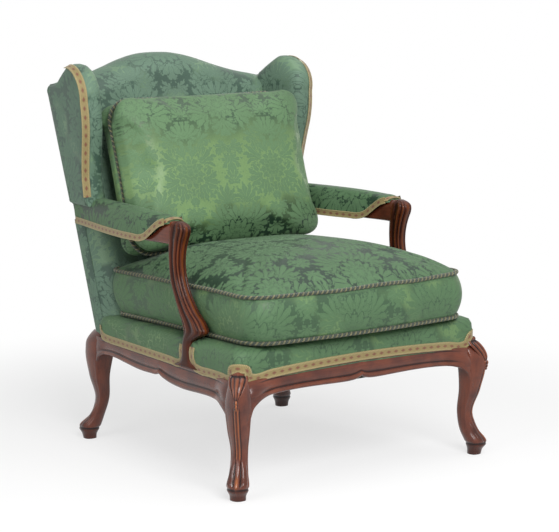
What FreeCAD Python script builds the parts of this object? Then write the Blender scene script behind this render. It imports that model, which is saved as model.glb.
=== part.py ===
"""A traditional wing armchair with open arms, carved legs and two loose cushions.

Millimetres. +Z is up, the chair faces -Y, and +X is the viewer's right when facing it.
The origin lies on the floor under the middle of the chair.
"""
import FreeCAD, Part
import math
import os

import Sketcher
from FreeCAD import Placement, Rotation, Vector

# Driving dimensions
SIZES = {
    # seat frame
    "feet_centre_y": -69.5,
    "front_foot_spread": 740.0,
    "rear_foot_spread": 630.0,
    "foot_depth": 732.0,
    "rail_thickness": 32.0,
    "rail_bottom": 237.0,
    "rail_top": 276.0,
    "front_rail_arch": 14.0,
    "front_rail_notch": 10.0,
    "front_rail_notch_width": 36.0,
    "side_rail_drop": 20.0,
    "side_rail_cusp": 365.0,
    "rear_rail_inset": 30.0,
    "rear_rail_thickness": 28.0,
    "rail_ledge_width": 18.0,
    "rail_ledge_height": 242.0,
    "rail_reach_front": 30.0,
    "rail_reach_rear": 44.0,
    "rear_rail_reach": 36.0,
    "tenon_length": 18.0,
    "tenon_thickness": 12.0,
    "tenon_height": 14.0,
    "tenon_lift": 2.0,
    "tenon_step": 1.5,
    "tenon_root": 30.0,
    "short_tenon_length": 8.0,
    "corner_block_size": 78.0,
    "corner_block_height": 26.0,
    "corner_block_lift": 4.0,
    "screw_inset": 8.0,
    "screw_diameter": 5.0,
    "screw_length": 40.0,
    "screw_head_diameter": 10.0,
    "screw_head_height": 3.0,
    "dowel_diameter": 10.0,
    "dowel_length": 44.0,
    # back
    "back_rake": 17.2,
    "back_setback": 36.0,
    "back_half_bottom": 309.0,
    "back_half_top": 323.0,
    "crest_centre": 983.0,
    "crest_side": 909.0,
    "back_cover_thickness": 3.0,
    "stile_thickness": 34.0,
    "stile_width": 42.0,
    "top_rail_height": 46.0,
    "crest_padding": 16.0,
    "top_rail_inset": 6.0,
    "bottom_rail_base": 62.0,
    "bottom_rail_height": 44.0,
    "back_pad_depth": 53.0,
    "back_pad_foot": 30.0,
    "back_cover_foot": 24.0,
    "back_cover_inset": 2.0,
    "back_pad_rolled": 46.0,
    "back_pad_straight": 26.0,
    "web_width": 48.0,
    "web_thickness": 1.5,
    "web_spacing": 150.0,
    "web_margin": 4.0,
    "canvas_thickness": 1.0,
    "canvas_margin": 10.0,
    "side_panel_thickness": 4.0,
    "side_panel_gap": 22.0,
    # arms
    "arm_outer": 371.0,
    "arm_underside": 563.0,
    "arm_wood_height": 37.0,
    "arm_front": 124.0,
    "arm_rear": 52.0,
    "arm_scroll_radius": 27.0,
    "arm_scroll_lift": 5.0,
    "arm_pad_front": 20.0,
    "arm_pad_rear": 58.0,
    "arm_pad_width": 62.0,
    "arm_pad_top": 633.0,
    "arm_pad_back_gap": 24.0,
    "arm_dowel_y": 95.0,
    "arm_support_centre": 337.0,
    "arm_support_width": 36.0,
    "arm_support_lean": 1.9,
    "arm_support_y": 138.0,
    # wings
    "wing_bottom_gap": 2.0,
    "wing_top": 968.0,
    "wing_thickness": 46.0,
    "wing_cover_thickness": 9.0,
    "wing_frame_thickness": 18.0,
    "wing_frame_inset": 15.0,
    "wing_stile_gap": 6.0,
    "wing_pad_lap": 4.0,
    "wing_braid_rear": 110.0,
    "wing_flare": 6.5,
    "wing_lean": 2.58965,
    "wing_offset": 10.5,
    # seat
    "deck_height": 68.0,
    "deck_wall": 40.0,
    "deck_stuffing": 24.0,
    "deck_edge": 18.0,
    "deck_border": 33.0,
    "deck_setback": 2.0,
    "deck_corner": 26.0,
    "seat_slope": 1.4,
    "spring_radius": 36.0,
    "spring_waist": 28.0,
    "spring_wire": 3.6,
    "spring_turns": 4.0,
    "spring_pitch_x": 160.0,
    "spring_pitch_y": 160.0,
    "spring_shift": 30.0,
    "dust_cover_thickness": 1.2,
    # loose cushions
    "cushion_rear_half": 284.0,
    "cushion_front_half": 331.0,
    "cushion_front": 377.0,
    "cushion_front_bow": 28.0,
    "cushion_rear": 243.0,
    "cushion_rear_lean": 14.0,
    "cushion_side_draw": 4.0,
    "cushion_seam_height": 108.0,
    "cushion_crown": 52.0,
    "cushion_sole": 7.0,
    "cushion_sole_inset": 26.0,
    "cushion_bulge": 3.0,
    "cord_diameter": 10.0,
    "cushion_skin": 3.0,
    "pillow_half_width": 286.0,
    "pillow_height": 404.0,
    "pillow_half_thickness": 92.0,
    "pillow_draw": 10.0,
    "pillow_lift": 34.8,
    # braid
    "braid_width": 14.0,
    "braid_thickness": 1.5,
    "front_braid_end": 64.0,
    "side_braid_end": 60.0,
    "front_braid_lift": 1.0,
    # gap between neighbours that touch softly
    "clearance": 0.3,
    "soft_clearance": 0.6,
}

# Leg stations, floor to rail: reach outwards along the diagonal, reach inwards, half width across it
FRONT_LEG = {
    "sole": (17.0, 18.0, 19.0),
    "toe": (29.0, 22.0, 27.0),
    "instep": (9.0, 38.0, 25.0),
    "ankle": (-5.0, 45.0, 22.0),
    "calf": (14.0, 41.0, 26.0),
    "knee": (27.0, 46.0, 36.0),
    "crown": (-4.0, 56.0, 35.0),
}
REAR_LEG = {
    "sole": (20.0, 21.0, 20.0),
    "toe": (27.0, 26.0, 26.0),
    "instep": (-2.0, 40.0, 22.0),
    "ankle": (-16.0, 53.0, 21.0),
    "calf": (-1.0, 56.0, 27.0),
    "knee": (8.0, 68.0, 38.0),
    "crown": (-16.0, 72.0, 38.0),
}
STATION_HEIGHTS = {"toe": 25.0, "instep": 62.0, "ankle": 104.0, "calf": 168.0}
CROWN_RISE = 20.0
for station, reach in FRONT_LEG.items():
    for part_name, value in zip(("out", "in", "half"), reach):
        SIZES[f"front_{station}_{part_name}"] = value
for station, reach in REAR_LEG.items():
    for part_name, value in zip(("out", "in", "half"), reach):
        SIZES[f"rear_{station}_{part_name}"] = value
for station, height in STATION_HEIGHTS.items():
    SIZES[f"{station}_height"] = height
SIZES["crown_rise"] = CROWN_RISE

doc = FreeCAD.newDocument("wing_armchair")
sheet = doc.addObject("Spreadsheet::Sheet", "Sizes")
for row, (alias, value) in enumerate(SIZES.items(), start=1):
    sheet.set(f"A{row}", alias.replace("_", " "))
    sheet.set(f"B{row}", str(value))
    sheet.setAlias(f"B{row}", alias)
doc.recompute()


class Dim:
    """A length that knows its value and the expression that ties it to the sheet."""

    def __init__(self, value, text):
        self.value = float(value)
        self.text = text

    def __float__(self):
        return self.value

    def joined(self, other, sign, value):
        return Dim(value, f"({self.text} {sign} {as_text(other)})")

    def __add__(self, other):
        return self.joined(other, "+", self.value + float(other))

    def __sub__(self, other):
        return self.joined(other, "-", self.value - float(other))

    def __mul__(self, other):
        return self.joined(other, "*", self.value * float(other))

    def __truediv__(self, other):
        return self.joined(other, "/", self.value / float(other))

    def __neg__(self):
        return self * -1.0


def as_text(number):
    return number.text if isinstance(number, Dim) else repr(float(number))


def dim(alias):
    """A sheet cell as a length with its expression."""
    return Dim(sheet.get(alias), f"Sizes.{alias}")


def size(alias):
    """A sheet cell as a plain number."""
    return float(sheet.get(alias))


def bind(thing, path, length):
    thing.setExpression(path, as_text(length))


# Values that several pieces share
CLEAR = size("clearance")
SOFT_CLEAR = size("soft_clearance")
RAKE = math.radians(size("back_rake"))
CENTRE_Y = size("feet_centre_y")
FRONT_Y = CENTRE_Y - size("foot_depth") / 2
REAR_Y = CENTRE_Y + size("foot_depth") / 2
FRONT_HALF = size("front_foot_spread") / 2
REAR_HALF = size("rear_foot_spread") / 2
RAIL_TOP = size("rail_top")
BACK_Y = REAR_Y - size("back_setback")
CORD_RADIUS = size("cord_diameter") / 2
BACK_TURN = Rotation(Vector(1, 0, 0), -size("back_rake"))
# Longer than any piece, for blocks that only cut
AMPLE = 1200.0
# Largest share of a side that a corner may round off, and the same for the edges of a leg
CORNER_LIMIT = 0.46
LEG_ROUNDING = 0.3
arm_top = dim("arm_underside") + dim("arm_wood_height")
stile_share = (arm_top - dim("rail_top")) / (dim("crest_side") - dim("rail_top"))
arm_inner = dim("back_half_bottom") + (dim("back_half_top") - dim("back_half_bottom")) * stile_share
arm_inner = arm_inner + dim("clearance")
arm_width = dim("arm_outer") - arm_inner
ARM_INNER = float(arm_inner)
ARM_CENTRE = ARM_INNER + float(arm_width) / 2
nodes = {}


def node(thing, label):
    """Register a finished document object as one piece of the chair."""
    thing.Label = label
    nodes[label] = thing
    return thing


def feature(name, shape, placement=Placement()):
    made = doc.addObject("Part::Feature", name)
    made.Shape = shape
    made.Placement = placement
    return made


def cut(name, base, *tools):
    """Base minus one or more tools, as a document object."""
    tool = tools[0]
    if len(tools) > 1:
        tool = doc.addObject("Part::Compound", name + "_tools")
        tool.Links = list(tools)
    made = doc.addObject("Part::Cut", name)
    made.Base = base
    made.Tool = tool
    return made


def fuse(name, *pieces):
    made = doc.addObject("Part::MultiFuse", name)
    made.Shapes = list(pieces)
    return made


def mirrored(name, source):
    """The right-hand copy of a left-hand piece."""
    made = doc.addObject("Part::Mirroring", name)
    made.Source = source
    made.Base = Vector(0, 0, 0)
    made.Normal = Vector(1, 0, 0)
    return made


def pair(label, left):
    node(left, label + "_left")
    node(mirrored(label + "_mirror", left), label + "_right")


def box(name, x, y, z, length, width, height):
    """A block from its lowest corner, each value tied to the sheet."""
    made = doc.addObject("Part::Box", name)
    for path, value in (("Length", length), ("Width", width), ("Height", height)):
        bind(made, path, value)
    for axis, value in (("x", x), ("y", y), ("z", z)):
        bind(made, f"Placement.Base.{axis}", value)
    return made


def rounded_wire(points, trims):
    """A closed flat wire of lines, with a tangent arc at every corner."""
    count = len(points)
    arcs = []
    for i, corner in enumerate(points):
        before = points[i - 1] - corner
        after = points[(i + 1) % count] - corner
        trim = min(trims[i], CORNER_LIMIT * before.Length, CORNER_LIMIT * after.Length)
        angle = before.getAngle(after)
        before.normalize()
        after.normalize()
        middle = (before + after).normalize()
        radius = trim * math.tan(angle / 2)
        depth = radius / math.sin(angle / 2) - radius
        arcs.append((corner + before * trim, corner + middle * depth, corner + after * trim))
    edges = []
    for i, (start, middle, end) in enumerate(arcs):
        edges.append(Part.Arc(start, middle, end).toShape())
        edges.append(Part.LineSegment(end, arcs[(i + 1) % count][0]).toShape())
    return Part.Wire(edges)


def inset_polygon(points, distance):
    """Corners of a counter-clockwise polygon moved inwards, sides kept parallel."""
    moved = []
    for i, (x, y) in enumerate(points):
        px, py = points[i - 1]
        nx, ny = points[(i + 1) % len(points)]
        first = math.atan2(y - py, x - px)
        second = math.atan2(ny - y, nx - x)
        half_turn = (second - first + math.pi) % (2 * math.pi) / 2 - math.pi / 2
        direction = first + half_turn + math.pi / 2
        reach = distance / math.cos(half_turn)
        moved.append((x + reach * math.cos(direction), y + reach * math.sin(direction)))
    return moved


def loft(wires, ruled=False):
    return Part.makeLoft(wires, True, ruled)


def profile_face(steps):
    """A flat face from a start point and steps: an end point, or a point on the arc and its end."""
    edges = []
    here = steps[0][0]
    for step in steps[1:] + [(steps[0][0],)]:
        if len(step) == 1:
            if (step[0] - here).Length > 1e-6:
                edges.append(Part.LineSegment(here, step[0]).toShape())
        else:
            edges.append(Part.Arc(here, step[0], step[1]).toShape())
        here = step[-1]
    return Part.Face(Part.Wire(edges))


def sketch_profile(body, name, plane, steps):
    """A closed sketch whose every point is tied to the sheet: lines, and arcs through a point."""
    sketch = body.newObject("Sketcher::SketchObject", name)
    support = [f for f in body.Origin.OriginFeatures if f.Role == plane][0]
    sketch.AttachmentSupport = [(support, "")]
    sketch.MapMode = "FlatFace"
    corners = [step[-1] for step in steps]
    flat = [Vector(float(x), float(y), 0) for x, y in corners]
    curves = []
    for i, step in enumerate(steps):
        start, end = flat[i - 1], flat[i]
        if len(step) == 1:
            curves.append(sketch.addGeometry(Part.LineSegment(start, end)))
            continue
        through = Vector(float(step[0][0]), float(step[0][1]), 0)
        curves.append(sketch.addGeometry(Part.Arc(start, through, end)))
    for i, step in enumerate(steps):
        here, following = curves[i], curves[(i + 1) % len(steps)]
        here_end = nearest_end(sketch, here, flat[i])
        sketch.addConstraint(Sketcher.Constraint(
            "Coincident", here, here_end, following, nearest_end(sketch, following, flat[i])))
        tie_point(sketch, here, here_end, corners[i])
        if len(step) == 2:
            point = sketch.addGeometry(Part.Point(Vector(float(step[0][0]), float(step[0][1]), 0)), True)
            sketch.addConstraint(Sketcher.Constraint("PointOnObject", point, 1, here))
            tie_point(sketch, point, 1, step[0])
    return sketch


def nearest_end(sketch, curve, point):
    """Which end of a sketch curve lies at a point: 1 is its start, 2 its end."""
    ends = {end: (sketch.getPoint(curve, end) - point).Length for end in (1, 2)}
    return min(ends, key=ends.get)


def tie_point(sketch, curve, end, place):
    for kind, value in zip(("DistanceX", "DistanceY"), place):
        number = sketch.addConstraint(Sketcher.Constraint(kind, -1, 1, curve, end, float(value)))
        bind(sketch, f"Constraints[{number}]", value)


def padded_body(name, plane, steps, thickness, reversed_pad=False):
    """A body made by padding one profile."""
    body = doc.addObject("PartDesign::Body", name)
    sketch = sketch_profile(body, name + "_profile", plane, steps)
    doc.recompute()
    pad = body.newObject("PartDesign::Pad", name + "_pad")
    pad.Profile = sketch
    bind(pad, "Length", thickness)
    pad.Reversed = reversed_pad
    sketch.Visibility = False
    return body


def side_half(y):
    """Outer half width of the seat frame at a depth, along the line between the feet."""
    share = (y - FRONT_Y) / size("foot_depth")
    return FRONT_HALF + (REAR_HALF - FRONT_HALF) * share


def back_point(x, forward, up):
    """A point by its distance ahead of the rear face of the back and up along its rake."""
    y = BACK_Y + up * math.sin(RAKE) - forward * math.cos(RAKE)
    z = RAIL_TOP + up * math.cos(RAKE) + forward * math.sin(RAKE)
    return Vector(x, y, z)


def back_up(height):
    """Distance up the rear face of the back at a height above the floor."""
    return (height - RAIL_TOP) / math.cos(RAKE)


def back_half(up):
    """Half width of the back, growing upwards."""
    share = up / back_up(size("crest_side"))
    return size("back_half_bottom") + (size("back_half_top") - size("back_half_bottom")) * share


def rear_line(z):
    """Depth of the rear face of the back at a height."""
    return BACK_Y + (z - RAIL_TOP) * math.tan(RAKE)


# Legs
def leg_blank(kind, side_x, side_y, foot_x, foot_y):
    """A curved leg, square in section with one corner towards the room, lofted from sole to rail."""
    outward = Vector(side_x, side_y, 0).normalize()
    across = Vector(-outward.y, outward.x, 0)
    heights = {"sole": 0.0, "knee": size("rail_bottom"), "crown": RAIL_TOP + size("crown_rise")}
    for station in STATION_HEIGHTS:
        heights[station] = size(f"{station}_height")
    wires = []
    for station in ("sole", "toe", "instep", "ankle", "calf", "knee", "crown"):
        out = size(f"{kind}_{station}_out")
        inner = size(f"{kind}_{station}_in")
        half = size(f"{kind}_{station}_half")
        foot = Vector(foot_x, foot_y, heights[station])
        middle = foot + outward * ((out - inner) / 2)
        side = across * half
        corners = [foot + outward * out, middle + side, foot - outward * inner, middle - side]
        wires.append(rounded_wire(corners, [LEG_ROUNDING * half] * 4))
    return loft(wires)


def stile_blank():
    """The left back stile, a raked post that grows out of the rear leg."""
    top = back_up(size("crest_side")) - size("crest_padding") - size("top_rail_height")
    near = size("back_cover_thickness") + 2 * CLEAR
    far = near + size("stile_thickness")
    wires = []
    for up in (-size("crown_rise"), top):
        outer = -back_half(up)
        inner = outer + size("stile_width")
        plan = ((outer, near), (inner, near), (inner, far), (outer, far))
        corners = [back_point(x, forward, up) for x, forward in plan]
        wires.append(Part.makePolygon(corners + corners[:1]))
    return loft(wires, True)


front_leg_blank = feature("front_leg_blank", leg_blank("front", -1, -1, -FRONT_HALF, FRONT_Y))
rear_leg_curve = leg_blank("rear", -1, 1, -REAR_HALF, REAR_Y)
rear_leg_blank = feature("rear_leg_blank", rear_leg_curve.fuse(stile_blank()).removeSplitter())


# Seat rails
front_half = dim("front_foot_spread") / 2
rear_half = dim("rear_foot_spread") / 2
front_y = dim("feet_centre_y") - dim("foot_depth") / 2
rear_y = dim("feet_centre_y") + dim("foot_depth") / 2
rail_top = dim("rail_top")
rail_bottom = dim("rail_bottom")


def front_rail_body():
    """Arched on top, with a small pointed notch in the middle of its lower edge."""
    end = front_half - dim("rail_reach_front")
    notch = dim("front_rail_notch_width")
    point = rail_bottom + dim("front_rail_notch")
    shoulder = rail_bottom + dim("front_rail_notch") / 5
    middle = Dim(0, "0.0")
    steps = [
        ((-end, rail_bottom),),
        ((-notch, rail_bottom),),
        ((-notch / 3, shoulder), (middle, point)),
        ((notch / 3, shoulder), (notch, rail_bottom)),
        ((end, rail_bottom),),
        ((end, rail_top),),
        ((middle, rail_top + dim("front_rail_arch")), (-end, rail_top)),
    ]
    body = padded_body("front_rail_board", "XZ_Plane", steps, dim("rail_thickness"), True)
    bind(body, "Placement.Base.y", front_y)
    return body


def side_rail_length():
    return math.hypot(size("foot_depth"), FRONT_HALF - REAR_HALF)


def side_rail_turn():
    return math.degrees(math.atan2(size("foot_depth"), FRONT_HALF - REAR_HALF))


def side_rail_body():
    """Two shallow lobes that meet in a cusp along the lower edge."""
    start = dim("rail_reach_front")
    end = dim("foot_depth") - dim("rail_reach_rear")
    cusp = dim("side_rail_cusp")
    low = rail_bottom - dim("side_rail_drop")
    steps = [
        ((start, rail_bottom - dim("side_rail_drop") / 2),),
        (((start + cusp) / 2, low), (cusp, rail_bottom - dim("side_rail_drop") / 4)),
        (((cusp + end) / 2, low + dim("side_rail_drop") / 2), (end, rail_bottom)),
        ((end, rail_top),),
        ((start, rail_top),),
    ]
    body = padded_body("side_rail_board", "XZ_Plane", steps, dim("rail_thickness"))
    body.Placement = Placement(Vector(-FRONT_HALF, FRONT_Y, 0), Rotation(Vector(0, 0, 1), side_rail_turn()))
    return body


def rear_rail_body():
    end = rear_half - dim("rear_rail_reach")
    steps = [((-end, rail_bottom),), ((end, rail_bottom),), ((end, rail_top),), ((-end, rail_top),)]
    body = padded_body("rear_rail_board", "XZ_Plane", steps, dim("rear_rail_thickness"))
    bind(body, "Placement.Base.y", rear_y - dim("rear_rail_inset"))
    return body


def frame_corners(depth):
    """Plan corners of the seat frame, each side moved inwards by a depth, counter-clockwise."""
    outer = [(-FRONT_HALF, FRONT_Y), (FRONT_HALF, FRONT_Y), (REAR_HALF, REAR_Y), (-REAR_HALF, REAR_Y)]
    rear_extra = size("rear_rail_inset") / size("foot_depth")
    for i in (2, 3):
        x, y = outer[i]
        widening = math.copysign((FRONT_HALF - REAR_HALF) * rear_extra, x)
        outer[i] = (x + widening, y - size("rear_rail_inset"))
    return inset_polygon(outer, depth)


def plan_prism(corners, z, height, trims=None):
    points = [Vector(x, y, z) for x, y in corners]
    wire = rounded_wire(points, trims) if trims else Part.makePolygon(points + points[:1])
    return Part.Face(wire).extrude(Vector(0, 0, height))


# The ledge that takes the webbing: a shallow rebate under the inner half of every rail
lip = size("rail_thickness") - size("rail_ledge_width")
ledge = feature("rail_ledge", plan_prism(frame_corners(lip), 0, size("rail_ledge_height")))

# Tenons, one above the other in the legs so that they pass each other
tenon_low = dim("rail_ledge_height") + dim("tenon_lift")
tenon_high = tenon_low + dim("tenon_height") + dim("tenon_step")
mid_rail = (dim("rail_thickness") - dim("tenon_thickness")) / 2
tenon_run = dim("tenon_length") + dim("tenon_root")
front_tenon_x = -front_half + dim("rail_reach_front") - dim("tenon_length")
front_tenon = box(
    "front_tenon", front_tenon_x, front_y + mid_rail, tenon_high,
    tenon_run, dim("tenon_thickness"), dim("tenon_height"))
rear_tenon_y = rear_y - dim("rear_rail_inset") - mid_rail - dim("tenon_thickness") / 2
rear_tenon = box(
    "rear_tenon", -rear_half + dim("rear_rail_reach") - dim("short_tenon_length"), rear_tenon_y, tenon_high,
    tenon_run, dim("tenon_thickness") / 2, dim("tenon_height"))


def side_tenon(name, start):
    """A tenon on the left side rail, along its own slanted line."""
    made = doc.addObject("Part::Box", name)
    bind(made, "Length", tenon_run)
    bind(made, "Width", dim("tenon_thickness"))
    bind(made, "Height", dim("tenon_height"))
    turn = Rotation(Vector(0, 0, 1), side_rail_turn())
    corner = Vector(start, -float(mid_rail) - size("tenon_thickness"), float(tenon_low))
    made.Placement = Placement(Vector(-FRONT_HALF, FRONT_Y, 0) + turn.multVec(corner), turn)
    return made


side_tenon_front = side_tenon("side_tenon_front", size("rail_reach_front") - size("tenon_length"))
rear_tenon_end = side_rail_length() - size("rail_reach_rear") + size("short_tenon_length")
side_tenon_rear = side_tenon("side_tenon_rear", rear_tenon_end - float(tenon_run))

front_leg_right_blank = mirrored("front_leg_right_blank", front_leg_blank)
rear_leg_right_blank = mirrored("rear_leg_right_blank", rear_leg_blank)
front_tenon_right = mirrored("front_tenon_right", front_tenon)
rear_tenon_right = mirrored("rear_tenon_right", rear_tenon)


# Corner blocks glued into the frame, each held by two screws
def corner_blocks_and_screws():
    """Four triangular blocks in the corners of the frame, and a screw into each rail beside them."""
    inner = frame_corners(size("rail_thickness"))
    reach = size("corner_block_size")
    base = size("rail_ledge_height") + size("corner_block_lift")
    blocks = []
    screws = []
    for i, corner in enumerate(inner):
        corner = Vector(corner[0], corner[1], base)
        arms = []
        for other in (inner[i - 1], inner[(i + 1) % 4]):
            along = Vector(other[0], other[1], base) - corner
            arms.append(along.normalize())
        points = [corner, corner + arms[1] * reach, corner + arms[0] * reach]
        face = Part.Face(Part.makePolygon(points + points[:1]))
        blocks.append(face.extrude(Vector(0, 0, size("corner_block_height"))))
        for along, into in ((arms[0], arms[1]), (arms[1], arms[0])):
            screws.append(screw(corner, along, into))
    return blocks, screws


def screw(corner, along, into):
    """A countersunk wood screw through a block, square into the rail beside it."""
    reach = size("corner_block_size")
    square = Vector(0, 0, 1).cross(along)
    if square.dot(into) < 0:
        square = -square
    depth = reach / 3
    head = corner + along * (reach - depth - size("screw_inset")) + square * depth
    head.z += size("corner_block_height") / 2
    head_radius = size("screw_head_diameter") / 2
    shank_radius = size("screw_diameter") / 2
    head_height = size("screw_head_height")
    direction = -square
    cone = Part.makeCone(head_radius, shank_radius, head_height, head, direction)
    shank = Part.makeCylinder(shank_radius, size("screw_length"), head, direction)
    return cone.fuse(shank).removeSplitter()


block_shapes, screw_shapes = corner_blocks_and_screws()
screw_group = feature("corner_block_screws", Part.makeCompound(screw_shapes))
node(screw_group, "corner_block_screws")
block_blank = feature("corner_block_blank", Part.makeCompound(block_shapes))
leg_blanks = [front_leg_blank, front_leg_right_blank, rear_leg_blank, rear_leg_right_blank]
node(cut("corner_blocks", block_blank, screw_group, *leg_blanks), "corner_blocks")


# Frame dowels: arm support to rail and arm, arm to stile, top and bottom rails of the back to the stiles
def dowel(start, direction):
    radius = size("dowel_diameter") / 2
    length = size("dowel_length")
    direction = Vector(*direction).normalize()
    return Part.makeCylinder(radius, length, start - direction * (length / 2), direction)


def frame_dowel_shapes():
    support_y = CENTRE_Y - size("arm_support_y")
    lean = math.tan(math.radians(size("arm_support_lean")))
    head_x = size("arm_support_centre") + lean * (size("arm_underside") - RAIL_TOP)
    left = [
        dowel(Vector(-size("arm_support_centre"), support_y, RAIL_TOP), (-lean, 0, 1)),
        dowel(Vector(-head_x, CENTRE_Y - size("arm_dowel_y"), size("arm_underside")), (-lean, 0, 1)),
    ]
    stile_mid = size("back_cover_thickness") + 2 * CLEAR + size("stile_thickness") / 2
    arm_mid = size("arm_underside") + size("arm_wood_height") / 2
    arm_up = back_up(arm_mid) - stile_mid * math.tan(RAKE)
    left.append(dowel(back_point(-back_half(arm_up), stile_mid, arm_up), (1, 0, 0)))
    top = back_up(size("crest_side")) - size("crest_padding") - size("top_rail_height")
    across = back_half(top) - size("stile_width") / 2
    left.append(dowel(back_point(-across, stile_mid, top), (0, math.sin(RAKE), math.cos(RAKE))))
    low = size("bottom_rail_base") + size("bottom_rail_height") / 2
    left.append(dowel(back_point(size("stile_width") - back_half(low), stile_mid, low), (1, 0, 0)))
    return left + [shape.mirror(Vector(0, 0, 0), Vector(1, 0, 0)) for shape in left]


frame_dowels = feature("frame_dowels", Part.makeCompound(frame_dowel_shapes()))
node(frame_dowels, "frame_dowels")

# Legs with their mortises, rails coped to the legs
pair("front_leg", cut("front_leg", front_leg_blank, front_tenon, side_tenon_front))
pair("rear_leg", cut("rear_leg", rear_leg_blank, rear_tenon, side_tenon_rear, frame_dowels))
front_board = front_rail_body()
front_rail = cut("front_rail_coped", front_board, front_leg_blank, front_leg_right_blank, ledge)
front_rail = fuse("front_rail_tenoned", front_rail, front_tenon, front_tenon_right)
node(cut("front_rail", front_rail, screw_group), "front_seat_rail")
side_rail = cut("side_rail_coped", side_rail_body(), front_leg_blank, rear_leg_blank, front_board, ledge)
side_rail = fuse("side_rail_tenoned", side_rail, side_tenon_front, side_tenon_rear)
side_rail_left = cut("side_rail_left", side_rail, screw_group, frame_dowels)
pair("side_seat_rail", side_rail_left)
rear_rail = cut("rear_rail_coped", rear_rail_body(), rear_leg_blank, rear_leg_right_blank, ledge)
rear_rail = fuse("rear_rail_tenoned", rear_rail, rear_tenon, rear_tenon_right)
node(cut("rear_rail", rear_rail, screw_group), "rear_seat_rail")


# Arm supports
def arm_support_body():
    """An S-shaped post with a forward cusp, from the side rail to the arm."""
    foot = -dim("arm_support_y") + dim("feet_centre_y")
    rise = dim("arm_underside") - rail_top

    def at(ahead, share):
        return (foot + ahead, rail_top + rise * share)

    steps = [
        (at(40, 0.0),),
        (at(20, 0.056), at(11, 0.153)),
        (at(8, 0.258), at(17, 0.373)),
        (at(35, 0.481), at(52, 0.606)),
        (at(65, 0.746), at(69, 0.899)),
        (at(67, 1.0),),
        (at(19, 1.0),),
        (at(28, 0.920), at(29, 0.801)),
        (at(20, 0.683), at(-2, 0.557)),
        (at(-28, 0.456), at(-60, 0.376)),
        (at(-68, 0.341), at(-66, 0.307)),
        (at(-40, 0.275), at(-18, 0.216)),
        (at(-14, 0.118), at(-20, 0.056)),
        (at(-26, 0.024), at(-40, 0.0)),
    ]
    body = padded_body("arm_support_board", "YZ_Plane", steps, dim("arm_support_width"))
    lean = Rotation(Vector(0, 1, 0), -size("arm_support_lean"))
    corner = Vector(-size("arm_support_width") / 2, 0, -RAIL_TOP)
    body.Placement = Placement(Vector(-size("arm_support_centre"), 0, RAIL_TOP) + lean.multVec(corner), lean)
    return body


support_board = arm_support_body()
under_arm = size("arm_underside")
above_corner = Vector(-AMPLE, -AMPLE / 2, under_arm)
above = feature("above_supports", Part.makeBox(AMPLE, AMPLE, AMPLE, above_corner))
below_corner = Vector(-AMPLE, -AMPLE / 2, RAIL_TOP - AMPLE)
below = feature("below_supports", Part.makeBox(AMPLE, AMPLE, AMPLE, below_corner))
arm_support = cut("arm_support", support_board, above, below, frame_dowels)
pair("arm_support", arm_support)


# Arms: a wooden rail that ends in a scroll, lapped on the outside of the stile
def arm_body():
    """Side profile of the arm: level under its pad, then rising into the scrolled hand end."""
    base = dim("feet_centre_y")
    under = dim("arm_underside")
    top = under + dim("arm_wood_height")
    radius = dim("arm_scroll_radius")
    front = base - dim("arm_front")
    centre = (front + radius, under + radius + dim("arm_scroll_lift"))
    slant = radius * math.sqrt(0.5)
    pad_lap = (base + dim("arm_pad_front") + 12.0, top)
    neck = (base - 20.0, top + 11.0)
    hand_top = (base - 60.0, top + 13.0)
    throat = (centre[0] + 22.0, under)
    steps = [
        ((rear_y + dim("arm_rear"), under),),
        ((rear_y + dim("arm_rear"), top),),
        (pad_lap,),
        (neck,),
        (hand_top, (centre[0], centre[1] + radius)),
        ((centre[0] - slant, centre[1] + slant), (front, centre[1])),
        ((centre[0] - slant, centre[1] - slant), (centre[0], centre[1] - radius)),
        (throat,),
    ]
    body = padded_body("arm_board", "YZ_Plane", steps, arm_width)
    bind(body, "Placement.Base.x", -dim("arm_outer"))
    return body


def arm_section(grow, y, length):
    """The arm pad's section, a flat-sided dome, grown by a skin and run along the arm."""
    half = size("arm_pad_width") / 2 + grow
    low = size("arm_underside")
    spring_line = low + size("arm_wood_height")
    top = size("arm_pad_top") + grow
    shoulder_out = 0.72
    shoulder_up = 0.68
    shoulder = Vector(-shoulder_out * half, y, spring_line + shoulder_up * (top - spring_line))
    centre = Vector(-ARM_CENTRE, 0, 0)
    start = Vector(-half, y, low)
    steps = [
        (start,),
        (Vector(half, y, low),),
        (Vector(half, y, spring_line),),
        (Vector(-shoulder.x, y, shoulder.z), Vector(0, y, top)),
        (shoulder, Vector(-half, y, spring_line)),
    ]
    moved = [tuple(point + centre for point in step) for step in steps]
    return profile_face(moved).extrude(Vector(0, length, 0))


arm_board = arm_body()
pair("arm_rail", cut("arm_rail", arm_board, frame_dowels))
pad_front = CENTRE_Y + size("arm_pad_front")
pad_length = REAR_Y + size("arm_pad_rear") - pad_front
back_depth = size("back_cover_thickness") + size("stile_thickness") + size("back_pad_depth")
back_front_y = rear_line(under_arm) - back_depth - size("arm_pad_back_gap")
back_corner = Vector(-ARM_INNER, back_front_y, under_arm - AMPLE / 2)
back_room = feature("back_room", Part.makeBox(ARM_INNER, AMPLE, AMPLE, back_corner))
arm_pad_blank = feature("arm_pad_blank", arm_section(0, pad_front, pad_length))
pair("arm_pad", cut("arm_pad", arm_pad_blank, arm_board, back_room))


def arm_braid():
    """A flat braid round the foot of the pad and over its front end."""
    near = arm_section(CLEAR, pad_front, pad_length)
    far = arm_section(CLEAR + size("braid_thickness"), pad_front, pad_length)
    skin = far.cut(near)
    width = size("braid_width")
    low = Part.makeBox(AMPLE, pad_length, width, Vector(-AMPLE, pad_front, under_arm))
    front = Part.makeBox(AMPLE, width, AMPLE, Vector(-AMPLE, pad_front, under_arm))
    band = skin.common(low.fuse(front))
    return band.cut(back_room.Shape)


arm_braid_feature = feature("braid_arm", arm_braid())
pair("braid_arm", cut("braid_arm_cut", arm_braid_feature, arm_board))


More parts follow.
